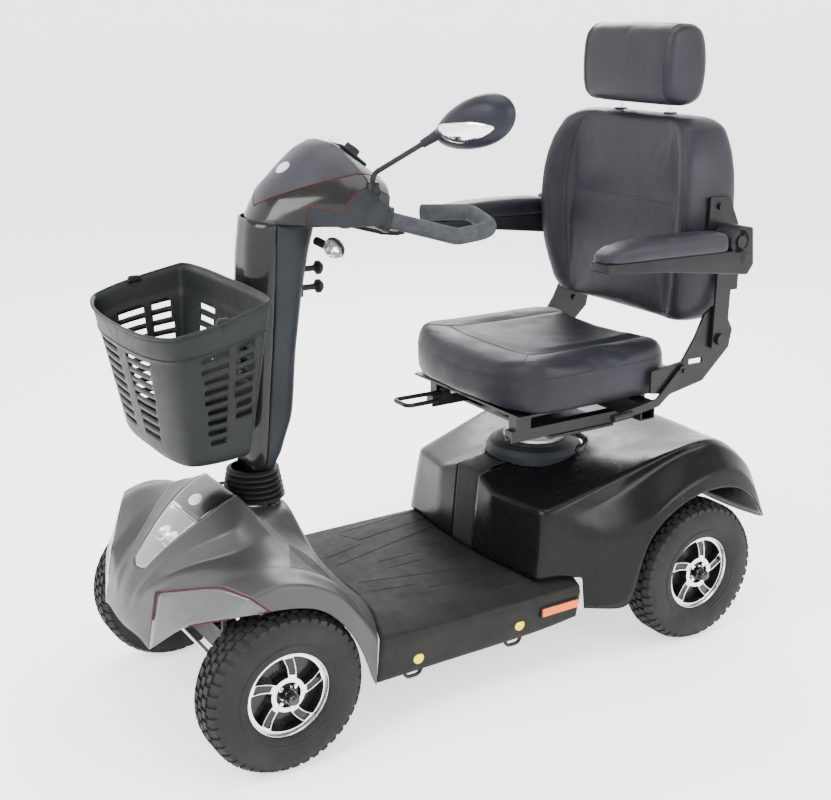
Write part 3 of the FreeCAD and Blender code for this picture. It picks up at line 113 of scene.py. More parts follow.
def surface(name, colour, rough=0.5, metal=0.0, vary=0.25, grain=900.0, grain_depth=0.0, coat=0.0,
            patch=9.0, rough_vary=0.06, specular=0.15, coat_rough=0.05):
    """Moulded, painted or metal surface: slow colour drift, uneven gloss and a fine grain."""
    mat, tree, shader, coord = nodes_of(name)
    drift = noise_node(tree, coord, patch, 5)
    low = [c * (1 - vary) for c in colour]
    high = [min(1, c * (1 + vary)) for c in colour]
    tree.links.new(ramp(tree, drift, low, high), shader.inputs["Base Color"])
    smear = noise_node(tree, coord, patch * 4.3, 6)
    tree.links.new(spread(tree, smear, rough - rough_vary, rough + rough_vary), shader.inputs["Roughness"])
    shader.inputs["Metallic"].default_value = metal
    shader.inputs["Coat Weight"].default_value = coat
    shader.inputs["Coat Roughness"].default_value = coat_rough
    shader.inputs["Specular IOR Level"].default_value = specular
    if grain_depth:
        bumped(tree, shader, noise_node(tree, coord, grain, 2), 0.5, grain_depth)
    return mat


def flake_paint(name, colour, flake, rough=0.28, coat=0.8, metal=0.5, specular=0.4):
    """Metallic paint: small bright flakes under clear coat."""
    mat, tree, shader, coord = nodes_of(name)
    cells = tree.nodes.new("ShaderNodeTexVoronoi")
    cells.inputs["Scale"].default_value = 1600
    tree.links.new(coord, cells.inputs["Vector"])
    tone = ramp(tree, cells.outputs["Distance"], flake, colour, 0.05, 0.55)
    tree.links.new(tone, shader.inputs["Base Color"])
    shader.inputs["Metallic"].default_value = metal
    shader.inputs["Specular IOR Level"].default_value = specular
    smear = noise_node(tree, coord, 30, 5)
    tree.links.new(spread(tree, smear, rough - 0.04, rough + 0.06), shader.inputs["Roughness"])
    shader.inputs["Coat Weight"].default_value = coat
    shader.inputs["Coat Roughness"].default_value = 0.06
    bumped(tree, shader, noise_node(tree, coord, 420, 2), 0.12, 0.0003)
    return mat


def leather(name, colour=(0.0068, 0.0070, 0.0098)):
    """Black leatherette: pebbled grain, soft wrinkles and worn shine."""
    mat, tree, shader, coord = nodes_of(name)
    drift = noise_node(tree, coord, 7, 5)
    high = [c * 1.7 for c in colour]
    tree.links.new(ramp(tree, drift, colour, high), shader.inputs["Base Color"])
    cells = tree.nodes.new("ShaderNodeTexVoronoi")
    cells.inputs["Scale"].default_value = 520
    tree.links.new(coord, cells.inputs["Vector"])
    first = bumped(tree, shader, cells.outputs["Distance"], 0.35, 0.0006)
    folds = noise_node(tree, coord, 26, 6, 0.62)
    bumped(tree, shader, folds, 0.28, 0.004, first)
    tree.links.new(spread(tree, noise_node(tree, coord, 18, 6), 0.36, 0.5), shader.inputs["Roughness"])
    shader.inputs["Specular IOR Level"].default_value = 0.18
    shader.inputs["Coat Weight"].default_value = 0.0
    shader.inputs["Coat Roughness"].default_value = 0.3
    return mat


def brushed(name, colour, rough=0.25, stretch=(4, 4, 260)):
    mat, tree, shader, coord = nodes_of(name)
    mapping = tree.nodes.new("ShaderNodeMapping")
    mapping.inputs["Scale"].default_value = stretch
    tree.links.new(coord, mapping.inputs["Vector"])
    lines = noise_node(tree, mapping.outputs["Vector"], 6, 6)
    low = [c * 0.82 for c in colour]
    tree.links.new(ramp(tree, lines, low, colour), shader.inputs["Base Color"])
    tree.links.new(spread(tree, lines, rough - 0.06, rough + 0.1), shader.inputs["Roughness"])
    shader.inputs["Metallic"].default_value = 1.0
    bumped(tree, shader, lines, 0.1, 0.0002)
    return mat


def clear(name, colour=(0.95, 0.97, 1.0), rough=0.04, transmission=0.92):
    mat, tree, shader, coord = nodes_of(name)
    haze = noise_node(tree, coord, 60, 4)
    tree.links.new(spread(tree, haze, rough, rough + 0.06), shader.inputs["Roughness"])
    tree.links.new(ramp(tree, haze, [c * 0.94 for c in colour], colour), shader.inputs["Base Color"])
    shader.inputs["Transmission Weight"].default_value = transmission
    shader.inputs["IOR"].default_value = 1.45
    return mat


def prism_lens(name, colour, cell=260.0):
    """Reflector plastic with a moulded prism grid under a gloss face."""
    mat, tree, shader, coord = nodes_of(name)
    cells = tree.nodes.new("ShaderNodeTexVoronoi")
    cells.distance = "CHEBYCHEV"
    cells.inputs["Randomness"].default_value = 0.0
    cells.inputs["Scale"].default_value = cell
    tree.links.new(coord, cells.inputs["Vector"])
    tone = ramp(tree, cells.outputs["Distance"], [min(1, c * 1.5) for c in colour],
                [c * 0.55 for c in colour],
                0.1, 0.6)
    tree.links.new(tone, shader.inputs["Base Color"])
    shader.inputs["Roughness"].default_value = 0.2
    shader.inputs["Specular IOR Level"].default_value = 0.3
    shader.inputs["Coat Weight"].default_value = 0.15
    bumped(tree, shader, cells.outputs["Distance"], 0.4, 0.001)
    return mat


M = {
    "graphite": flake_paint("graphite", (0.026, 0.026, 0.027), (0.070, 0.069, 0.068), 0.46, 0.04, 0.35),
    "lip": flake_paint("lip_paint", (0.040, 0.041, 0.043), (0.13, 0.13, 0.135), 0.26, 0.5, 0.4),
    "gloss": surface("gloss_black", (0.004, 0.004, 0.0045), 0.16, vary=0.3, coat=0.3, rough_vary=0.03,
                     specular=0.4),
    "rear_gloss": flake_paint("rear_gloss", (0.0035, 0.0035, 0.0038), (0.008, 0.008, 0.0085), 0.24, 0.0,
                              0.0, 0.13),
    "satin": surface("satin_black", (0.007, 0.007, 0.0075), 0.42, grain_depth=0.0002, grain=1400),
    "matte": surface("matte_black", (0.009, 0.009, 0.0095), 0.62, grain_depth=0.0005, grain=700),
    "floor": surface("floor_black", (0.0095, 0.0095, 0.009), 0.66, grain_depth=0.0008, grain=520, vary=0.3),
    "collar": surface("collar_grey", (0.010, 0.012, 0.0145), 0.5, grain_depth=0.0004, grain=900),
    "hood": surface("hood_grey", (0.024, 0.025, 0.030), 0.42, metal=0.2, grain_depth=0.0003, grain=1300),
    "column": flake_paint("column_gloss", (0.0075, 0.0075, 0.0075), (0.014, 0.015, 0.014), 0.14, 0.12, 0.1,
                          0.2),
    "steel": surface("black_steel", (0.007, 0.007, 0.0075), 0.36, metal=0.2, coat=0.15, grain_depth=0.0003),
    "zinc": brushed("zinc", (0.62, 0.62, 0.63), 0.3),
    "chrome": surface("chrome", (0.86, 0.86, 0.87), 0.08, metal=1.0, vary=0.04, rough_vary=0.03),
    "cast": surface("cast_metal", (0.38, 0.385, 0.39), 0.48, metal=0.9, grain_depth=0.0008, grain=300),
    "bright": brushed("bright_rim", (0.86, 0.865, 0.87), 0.2, (1, 200, 200)),
    "pocket": surface("rim_pocket", (0.008, 0.008, 0.009), 0.3, coat=0.3),
    "tyre": surface("tyre_rubber", (0.0085, 0.0085, 0.0088), 0.74, vary=0.3, grain=240, grain_depth=0.0008,
                    specular=0.22),
    "rubber": surface("rubber", (0.0075, 0.0078, 0.008), 0.55, vary=0.25, grain=500, grain_depth=0.0005),
    "foam": surface("foam", (0.030, 0.033, 0.037), 0.8, vary=0.2, grain=420, grain_depth=0.0012, patch=60),
    "basket": surface("basket_plastic", (0.0065, 0.0088, 0.0078), 0.48, grain_depth=0.0005, grain=650,
                      vary=0.2),
    "leather": leather("leatherette"),
    "arm": surface("arm_plastic", (0.0075, 0.0075, 0.0085), 0.48, grain_depth=0.0006, grain=800),
    "clear": clear("clear_lens"),
    "amber": prism_lens("amber_prism", (0.72, 0.10, 0.0)),
    "red": prism_lens("red_prism", (0.32, 0.004, 0.004)),
    "seam_red": surface("seam_red", (0.055, 0.004, 0.006), 0.5),
    "yellow": surface("yellow_disc", (0.86, 0.62, 0.0), 0.55, vary=0.05, specular=0.1),
    "badge": surface("badge", (0.50, 0.52, 0.56), 0.25, metal=0.3, vary=0.1, coat=0.5),
    "mirror": surface("mirror_glass", (0.88, 0.9, 0.92), 0.03, metal=1.0, vary=0.02, rough_vary=0.01),
    "mirror_shell": surface("mirror_shell", (0.0085, 0.009, 0.0145), 0.40, grain_depth=0.0003, grain=1000),
    "case": surface("battery_case", (0.02, 0.02, 0.024), 0.6, grain_depth=0.0005),
    "thread": surface("thread", (0.030, 0.030, 0.034), 0.7, vary=0.3, patch=400),
    "green": surface("green_button", (0.02, 0.16, 0.05), 0.3, vary=0.1),
    "red_button": surface("red_button", (0.35, 0.02, 0.015), 0.3, vary=0.1),
}

CAD_FINISH = {
    "main_frame": "satin", "batteries": "case", "controller": "cast", "transaxle": "cast",
              "drive_motor": "satin",
    "freewheel_lever": "red_button", "knuckle_left": "satin", "knuckle_right": "satin", "tie_rod": "zinc",
    "drag_link": "zinc", "steering_stem": "zinc", "tiller_mast": "steel", "charger_socket": "matte",
    "handlebar": "steel", "seat_post": "zinc", "seat_base": "steel", "seat_frame": "steel",
    "backrest_frame": "steel", "tie_down_loops": "steel", "recline_lever": "steel", "slide_lever": "steel",
    "swivel_lever": "steel", "mirror_stem": "steel", "horn_button": "red_button", "lamp_button": "green",
    "dash_panel": "matte", "throttle_lever": "matte", "headlight": "clear", "turn_signals": "clear",
    "bellows": "rubber", "post_collar": "collar", "bag_hook": "matte", "ignition_key": "zinc",
    "speed_knob": "matte",
}
for node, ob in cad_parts.items():
    ob.data.materials.clear()
    ob.data.materials.append(M[CAD_FINISH.get(node, "matte")])


# ------------------------------------------------------------------ mesh helpers
def place(ob, body, stands_for=()):
    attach(ob, body)
    if stands_for:
        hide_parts(*stands_for)
    return ob


def make(name, verts, faces, mats, smooth=True, ids=None):
    mesh = bpy.data.meshes.new(name)
    mesh.from_pydata([tuple(v) for v in verts], [], faces)
    mesh.validate()
    ob = bpy.data.objects.new(name, mesh)
    bpy.context.scene.collection.objects.link(ob)
    for m in mats if isinstance(mats, (list, tuple)) else [mats]:
        mesh.materials.append(M[m])
    for k, poly in enumerate(mesh.polygons):
        poly.use_smooth = smooth
        if ids:
            poly.material_index = ids[k]
    return ob


def crease(ob, test):
    """Set edge creases: test(a, b) gives a value for the edge between two vertex indices."""
    layer = ob.data.attributes.new("crease_edge", "FLOAT", "EDGE")
    for k, edge in enumerate(ob.data.edges):
        layer.data[k].value = test(*edge.vertices)


def subdivided(ob, level):
    mod = ob.modifiers.new("subd", "SUBSURF")
    mod.levels = level
    mod.render_levels = level
    return ob


def applied(ob):
    graph = bpy.context.evaluated_depsgraph_get()
    mesh = bpy.data.meshes.new_from_object(ob.evaluated_get(graph))
    ob.modifiers.clear()
    old = ob.data
    ob.data = mesh
    bpy.data.meshes.remove(old)
    return ob


def thick(ob, depth, offset=-1.0):
    mod = ob.modifiers.new("wall", "SOLIDIFY")
    mod.thickness = depth
    mod.offset = offset
    mod.use_even_offset = False
    return ob


def bevelled(ob, width, segments=2, angle=35):
    mod = ob.modifiers.new("edge", "BEVEL")
    mod.width = width
    mod.segments = segments
    mod.limit_method = "ANGLE"
    mod.angle_limit = math.radians(angle)
    mod.harden_normals = False
    return ob


def shade(ob, angle=35):
    """Smooth shading that keeps sharp corners."""
    mesh = ob.data
    limit = math.cos(math.radians(angle))
    bm = bmesh.new()
    bm.from_mesh(mesh)
    for face in bm.faces:
        face.smooth = True
    for edge in bm.edges:
        if len(edge.link_faces) == 2:
            edge.smooth = edge.link_faces[0].normal.dot(edge.link_faces[1].normal) > limit
    bm.to_mesh(mesh)
    bm.free()
    return ob




def rings(name, sections, mats, closed=True, caps=True, smooth=True, ids=None):
    """Skin over a list of equal-length outlines."""
    n = len(sections[0])
    verts = [p for section in sections for p in section]
    faces = []
    for i in range(len(sections) - 1):
        for j in range(n if closed else n - 1):
            k = (j + 1) % n
            faces.append((i * n + j, i * n + k, (i + 1) * n + k, (i + 1) * n + j))
    if caps and closed:
        faces.append(tuple(range(n))[::-1])
        faces.append(tuple((len(sections) - 1) * n + j for j in range(n)))
    return make(name, verts, faces, mats, smooth, ids)


def basis(axis):
    axis = Vector(axis).normalized()
    side = axis.orthogonal().normalized()
    if abs(axis.x) > 0.9:
        side = Vector((0, 0, 1))
    return axis, side, axis.cross(side)


def lathe(name, profile, origin, axis, mats, steps=64, ids=None, closed=False):
    """Body of revolution: profile is (radius, height) in metres along the axis."""
    axis, u, v = basis(axis)
    origin = Vector(origin)
    sections = []
    for k in range(steps):
        a = 2 * math.pi * k / steps
        out = u * math.cos(a) + v * math.sin(a)
        sections.append([origin + out * r + axis * h for r, h in profile])
    n = len(profile)
    verts = [p for s in sections for p in s]
    faces = []
    index = []
    span = n if closed else n - 1
    for i in range(steps):
        for j in range(span):
            k = (j + 1) % n
            i2 = (i + 1) % steps
            faces.append((i * n + j, i * n + k, i2 * n + k, i2 * n + j))
            index.append(ids[j] if ids else 0)
    ob = make(name, verts, faces, mats, True, index)
    bm = bmesh.new()
    bm.from_mesh(ob.data)
    bmesh.ops.remove_doubles(bm, verts=bm.verts, dist=1e-6)
    bmesh.ops.recalc_face_normals(bm, faces=bm.faces)
    bm.to_mesh(ob.data)
    bm.free()
    return ob


def tube(name, points, radius, mat, resolution=6, cyclic=False, order=0, radii=None):
    """Round bar along points."""
    curve = bpy.data.curves.new(name, "CURVE")
    curve.dimensions = "3D"
    curve.bevel_depth = radius
    curve.bevel_resolution = resolution
    curve.use_fill_caps = True
    kind = "NURBS" if order else "POLY"
    spline = curve.splines.new(kind)
    spline.points.add(len(points) - 1)
    for k, (point, p) in enumerate(zip(spline.points, points)):
        point.co = (*p, 1)
        if radii:
            point.radius = radii[k]
    if order:
        spline.order_u = order
        spline.use_endpoint_u = not cyclic
        spline.resolution_u = 8
    spline.use_cyclic_u = cyclic
    ob = bpy.data.objects.new(name, curve)
    bpy.context.scene.collection.objects.link(ob)
    curve.materials.append(M[mat])
    graph = bpy.context.evaluated_depsgraph_get()
    mesh = bpy.data.meshes.new_from_object(ob.evaluated_get(graph))
    bpy.data.objects.remove(ob)
    solid = bpy.data.objects.new(name, mesh)
    bpy.context.scene.collection.objects.link(solid)
    for poly in mesh.polygons:
        poly.use_smooth = True
    return solid


def joined(name, parts):
    """One object from several."""
    bm = bmesh.new()
    mats = []
    for part in parts:
        graph = bpy.context.evaluated_depsgraph_get()
        mesh = bpy.data.meshes.new_from_object(part.evaluated_get(graph))
        remap = []
        for m in mesh.materials:
            if m not in mats:
                mats.append(m)
            remap.append(mats.index(m))
        for poly in mesh.polygons:
            poly.material_index = remap[poly.material_index] if remap else 0
        bm.from_mesh(mesh)
        bpy.data.meshes.remove(mesh)
    whole = bpy.data.meshes.new(name)
    bm.to_mesh(whole)
    bm.free()
    for m in mats:
        whole.materials.append(m)
    for part in parts:
        bpy.data.objects.remove(part)
    ob = bpy.data.objects.new(name, whole)
    bpy.context.scene.collection.objects.link(ob)
    return ob


def block(name, lo, hi, mat, soft=0.002, segments=3):
    """Rounded block between two corners."""
    xs, ys, zs = zip(lo, hi)
    verts = [(x, y, z) for x in xs for y in ys for z in zs]
    faces = [(0, 1, 3, 2), (4, 6, 7, 5), (0, 4, 5, 1), (2, 3, 7, 6), (0, 2, 6, 4), (1, 5, 7, 3)]
    ob = make(name, verts, faces, mat)
    bevelled(ob, soft, segments)
    return applied(ob)


# ------------------------------------------------------------------ covers from nets of points
def full_net(ribs):
    """Whole net from half ribs given in millimetres, centre plane first."""
    rows = []
    for rib in ribs:
        half = [Vector(p) * MM for p in rib]
        rows.append([Vector((-p.x, p.y, p.z)) for p in reversed(half[1:])] + half)
    return rows


def cover(name, ribs, patch_of, patches, crease_cols, crease_rows, level=3, wall=0.003, gap=0.0008):
    """Moulded cover: one smooth surface from the net, cut into panels along net lines."""
    rows = full_net(ribs)
    cols = len(rows[0])
    mid = cols // 2
    faces, ids = [], []
    for i in range(len(rows) - 1):
        for j in range(cols - 1):
            faces.append((i * cols + j, i * cols + j + 1, (i + 1) * cols + j + 1, (i + 1) * cols + j))
            ids.append(patch_of(i, j - mid if j >= mid else mid - 1 - j))
    base = make(name + "_net", [p for row in rows for p in row], faces, [p[1] for p in patches], True, ids)

    def value(a, b):
        ia, ja, ib, jb = a // cols, abs(a % cols - mid), b // cols, abs(b % cols - mid)
        if ja == jb:
            found = crease_cols.get(ja, 0)
            if isinstance(found, dict):
                return found.get(min(ia, ib), 0)
            return found
        found = crease_rows.get(ia, 0) if ia == ib else 0
        if isinstance(found, dict):
            return found.get(min(ja, jb), 0)
        return found
    crease(base, value)
    subdivided(base, level)
    applied(base)
    out = []
    for k, (label, mat) in enumerate(patches):
        bm = bmesh.new()
        bm.from_mesh(base.data)
        rim = set()
        for edge in bm.edges:
            kinds = {f.material_index for f in edge.link_faces}
            if k in kinds and len(kinds) > 1:
                rim.update(edge.verts)
        moves = {}
        for v in rim:
            own = [f.calc_center_median() for f in v.link_faces if f.material_index == k]
            if own:
                centre = sum(own, Vector()) / len(own)
                moves[v] = (centre - v.co).normalized() * gap
        for v, m in moves.items():
            v.co += m
        bmesh.ops.delete(bm, geom=[f for f in bm.faces if f.material_index != k], context="FACES")
        bmesh.ops.recalc_face_normals(bm, faces=bm.faces)
        up = sum(f.normal.z * f.calc_area() for f in bm.faces)
        if up < 0:
            bmesh.ops.reverse_faces(bm, faces=bm.faces)
        mesh = bpy.data.meshes.new(label)
        bm.to_mesh(mesh)
        bm.free()
        mesh.materials.append(M[mat])
        for poly in mesh.polygons:
            poly.material_index = 0
            poly.use_smooth = True
        ob = bpy.data.objects.new(label, mesh)
        bpy.context.scene.collection.objects.link(ob)
        thick(ob, wall)
        out.append(ob)
    bpy.data.objects.remove(base)
    return out


# ------------------------------------------------------------------ front cover
FRONT_RIBS = [
    [(0, -726, 236), (20, -726, 236), (45, -725, 238), (85, -722, 241), (120, -717, 228),
     (205, -682, 302), (300, -612, 342), (330, -577, 355)],
    [(0, -722, 300), (18, -720, 302), (42, -714, 314), (75, -706, 322), (120, -696, 345),
     (254, -622, 392), (322, -590, 384), (333, -560, 355)],
    [(0, -692, 346), (24, -686, 350), (72, -656, 380), (92, -656, 362), (140, -650, 376),
     (262, -590, 404), (326, -560, 392), (334, -535, 353)],
    [(0, -640, 402), (46, -636, 400), (116, -600, 418), (132, -602, 388), (185, -592, 396),
     (262, -560, 407), (326, -530, 396), (335, -500, 348)],
    [(0, -582, 450), (69, -578, 446), (161, -544, 449), (172, -549, 407), (215, -540, 404),
     (264, -528, 406), (325, -492, 390), (335, -455, 334)],
    [(0, -540, 476), (76, -535, 474), (134, -512, 456), (164, -508, 425), (232, -502, 402),
     (282, -478, 396), (324, -448, 372), (332, -415, 300)],
    [(0, -503, 487), (74, -500, 485), (103, -492, 472), (150, -462, 420), (222, -445, 388),
     (280, -420, 368), (320, -398, 335), (324, -378, 250)],
    [(0, -496, 442), (68, -484, 441), (98, -470, 440), (140, -440, 396), (212, -410, 360),
     (276, -390, 345), (318, -374, 300), (314, -356, 210)],
    [(0, -372, 434), (62, -376, 432), (92, -384, 402), (130, -372, 350), (200, -356, 310),
     (262, -345, 298), (306, -342, 262), (302, -338, 172)],
    [(0, -322, 310), (66, -324, 306), (96, -326, 292), (134, -326, 272), (190, -322, 258),
     (252, -318, 248), (294, -320, 232), (286, -318, 126)],
    [(0, -250, 218), (66, -250, 218), (98, -250, 218), (134, -251, 218), (182, -262, 218),
     (240, -284, 216), (284, -304, 208), (276, -304, 102)],
]


def front_patch(i, j):
    if i == 0 and 4 <= j <= 6:
        return 1
    if i in (4, 5) and j == 0:
        return 2
    if i in (2, 3) and j == 0:
        return 3
    return 0


FRONT_CREASE = {1: {2: 1, 3: 1, 4: 0.95, 5: 0.95, 6: 0.7},
                2: {0: 0.3, 1: 0.8, 2: 1, 3: 1, 4: 1, 5: 0.85, 6: 0.7},
                3: {1: 0.7, 2: 1, 3: 1, 4: 0.9, 5: 0.7, 6: 0.4}, 4: {0: 1, 1: 0.5, 2: 0.5, 3: 0.5}, 5: 0.4,
                6: 0.85, 7: 1.0}
FRONT_ROWS = {0: 1.0, 1: {2: 0.4, 3: 0.6, 4: 0.95, 5: 0.95, 6: 0.9}, 6: {0: 0.9, 1: 0.9},
              7: {0: 0.8, 1: 0.8, 2: 0.3},
              8: {0: 0.8, 1: 0.5}, 9: 0.2, 10: 1.0}
shroud, lips, nose, lens = cover("front", FRONT_RIBS, front_patch,
                                 [("front_cover", "graphite"), ("fender_lips", "lip"),
                                  ("nose_panel", "gloss"),
                                  ("headlight_glass", "clear")], FRONT_CREASE, FRONT_ROWS)


def punched(ob, centre, radius):
    """Remove the faces of a thin panel within a circle seen from above."""
    bm = bmesh.new()
    bm.from_mesh(ob.data)
    gone = [f for f in bm.faces if (Vector(f.calc_center_median()).xy - Vector(centre).xy).length < radius]
    bmesh.ops.delete(bm, geom=gone, context="FACES")
    edge = {v for e in bm.edges if len(e.link_faces) == 1 for v in e.verts
            if (v.co.xy - Vector(centre).xy).length < radius * 1.45}
    for v in edge:
        flat = (v.co.xy - Vector(centre).xy).normalized() * radius
        v.co.x, v.co.y = centre[0] + flat.x, centre[1] + flat.y
    bm.to_mesh(ob.data)
    bm.free()


punched(shroud, (0, -0.430), 0.050)
place(shroud, "chassis", ["front_shroud"])
place(lips, "chassis", ["fender_panels"])
place(nose, "chassis", ["nose_cover"])
place(lens, "chassis", ["headlight"])

# ------------------------------------------------------------------ rear cover
REAR_RIBS = [
    [(0, 88, 218), (38, 88, 218), (110, 92, 218), (258, 109, 218), (270, 165, 219), (285, 212, 212),
     (288, 218, 138)],
    [(0, 95, 305), (39, 95, 304), (106, 95, 295), (255, 120, 292), (276, 178, 284), (292, 222, 240),
     (312, 270, 132)],
    [(0, 104, 399), (40, 104, 398), (100, 97, 374), (248, 130, 368), (272, 195, 340), (294, 226, 297),
     (330, 312, 130)],
    [(0, 170, 410), (42, 170, 409), (106, 165, 390), (258, 200, 386), (272, 245, 356), (308, 270, 302),
     (337, 322, 178)],
    [(0, 290, 425), (45, 290, 424), (114, 250, 408), (270, 290, 410), (270, 310, 378), (326, 330, 312),
     (339, 340, 262)],
    [(0, 400, 436), (50, 400, 435), (130, 360, 426), (280, 385, 436), (268, 395, 408), (332, 380, 345),
     (340, 372, 312)],
    [(0, 500, 442), (60, 500, 441), (152, 465, 438), (284, 470, 458), (274, 475, 440), (334, 425, 374),
     (341, 440, 355)],
    [(0, 600, 444), (70, 600, 444), (184, 565, 447), (286, 545, 471), (292, 562, 460), (336, 515, 402),
     (342, 525, 374)],
    [(0, 680, 436), (80, 680, 436), (190, 660, 440), (264, 640, 452), (302, 640, 430), (336, 612, 414),
     (342, 618, 362)],
    [(0, 728, 384), (90, 728, 384), (190, 720, 382), (264, 705, 388), (306, 692, 372), (334, 680, 340),
     (340, 670, 322)],
    [(0, 742, 240), (90, 742, 240), (200, 738, 240), (270, 735, 246), (312, 728, 254), (330, 718, 262),
     (337, 704, 276)],
]
REAR_CREASE = {1: {0: 0.9, 1: 0.9, 2: 0.7, 3: 0.6, 4: 0.5, 5: 0.3},
               2: {0: 0.7, 1: 0.8, 2: 0.9, 3: 0.9, 4: 0.8, 5: 0.6, 6: 0.4},
               3: {0: 0.95, 1: 0.95, 2: 0.95, 3: 0.95, 4: 0.95, 5: 0.9, 6: 0.8, 7: 0.6}, 4: 0.5, 5: 0.75,
               6: 1.0}
REAR_ROWS = {0: 1.0, 2: {0: 0.85, 1: 0.8, 2: 0.6}, 9: 0.3, 10: 1.0}
rear, stripe = cover("rear", REAR_RIBS, lambda i, j: 1 if j == 0 and i < 5 else 0,
                     [("rear_cover", "rear_gloss"), ("rear_stripe", "matte")], REAR_CREASE, REAR_ROWS)
for ob in (rear, stripe):
    punched(ob, (0, 0.290), 0.112)
place(rear, "chassis", ["rear_shroud"])
place(stripe, "chassis", ["rear_shroud"])

# ------------------------------------------------------------------ floor pan
FLOOR_RIBS = [
    [(0, -246, 214), (96, -246, 214), (180, -258, 212), (276, -296, 200), (282, -300, 182), (272, -300, 103)],
    [(0, -180, 214), (128, -180, 214), (200, -182, 209), (280, -184, 198), (286, -184, 182),
     (272, -184, 104)],
    [(0, -60, 214), (180, -60, 214), (232, -60, 206), (283, -60, 197), (288, -60, 182), (273, -60, 105)],
    [(0, 60, 214), (236, 60, 213), (258, 60, 206), (285, 60, 196), (289, 60, 182), (274, 60, 106)],
    [(0, 140, 214), (250, 140, 213), (266, 140, 205), (285, 140, 196), (289, 140, 182), (275, 140, 110)],
    [(0, 205, 214), (252, 205, 213), (268, 205, 205), (285, 205, 196), (289, 205, 182), (277, 205, 118)],
]
pan, = cover("floor", FLOOR_RIBS, lambda i, j: 0, [("floor_tray", "floor")],
             {1: 0.8, 2: 0.5, 3: 0.6, 4: 0.6, 5: 1.0}, {0: 1.0, 5: 1.0}, level=3)
place(pan, "chassis", ["floor_pan"])


def groove_lines():
    """Shallow joint lines moulded in the floor, as plan polylines for the left half."""
    lines = [[(0.050, -0.215), (0.105, 0.000), (0.150, 0.175)], [(0.100, -0.215), (0.125, -0.110)],
             [(0.020, -0.120), (0.020, -0.030)], [(0.040, 0.010), (0.040, 0.090)]]
    pad = [(0.150, -0.100), (0.225, -0.120), (0.236, 0.040), (0.232, 0.150), (0.185, 0.140), (0.150, -0.100)]
    return lines + [pad]


# ------------------------------------------------------------------ wheels
def tread_tyre(name, centre, body, node):
    """Pneumatic tyre with offset tread blocks and side lettering left out."""
    x0, y0, z0 = (c * MM for c in centre)
    prof = [(84, -36), (86, -41), (96, -45.5), (118, -47.6), (136, -46.8), (148, -43), (155.5, -37),
            (158.6, -28),
            (159.6, -12), (159.8, 0), (159.6, 12), (158.6, 28), (155.5, 37), (148, 43), (136, 46.8),
            (118, 47.6),
            (96, 45.5), (86, 41), (84, 36)]
    carcass = lathe(name + "_carcass", [(r * MM, h * MM) for r, h in prof], (x0, y0, z0), (1, 0, 0), "tyre",
                    96)
    beads = []
    for s in (-1, 1):
        ring = [(100, 46.0), (101.5, 47.6), (104, 47.7), (105.5, 46.9)]
        beads.append(lathe("bead", [(r * MM, s * h * MM) for r, h in ring], (x0, y0, z0), (1, 0, 0), "tyre",
                           96))
    blocks_v, blocks_f = [], []

    def add_block(a0, a1, h0, h1, skew, r_top=0.1648, r_low=0.1570, drop=0.0):
        base = len(blocks_v)
        for r, shrink in ((r_low, 0.0), (r_top, 0.10)):
            for a, h in ((a0, h0), (a1, h0), (a1, h1), (a0, h1)):
                am, hm = (a0 + a1) / 2, (h0 + h1) / 2
                aa = a + (am - a) * shrink + skew * (h - hm)
                hh = h + (hm - h) * shrink
                rr = r - drop * ((abs(hh) / 0.047) ** 4)
                blocks_v.append((x0 + hh, y0 + rr * math.cos(aa), z0 + rr * math.sin(aa)))
        for f in ((4, 5, 6, 7), (0, 1, 5, 4), (1, 2, 6, 5), (2, 3, 7, 6), (3, 0, 4, 7)):
            blocks_f.append(tuple(base + k for k in f))
    count = 44
    for k in range(count):
        a = 2 * math.pi * k / count
        w = 2 * math.pi / count
        for row, (h0, h1) in enumerate(((-0.0435, -0.0275), (-0.0245, -0.0095), (-0.0065, 0.0065),
                                        (0.0095, 0.0245),
                                        (0.0275, 0.0435))):
            shift = 0.5 * w if row % 2 else 0.0
            edge = row in (0, 4)
            add_block(a + shift + 0.09 * w, a + shift + 0.82 * w, h0, h1,
                      0.9 if row < 2 else -0.9 if row > 2 else 0,
                      drop=0.0145 if edge else 0.0012, r_low=0.1575 if not edge else 0.156)
    blocks = make(name + "_blocks", blocks_v, blocks_f, "tyre", False)
    whole = joined(name, [carcass, blocks] + beads)
    place(whole, body, [node])


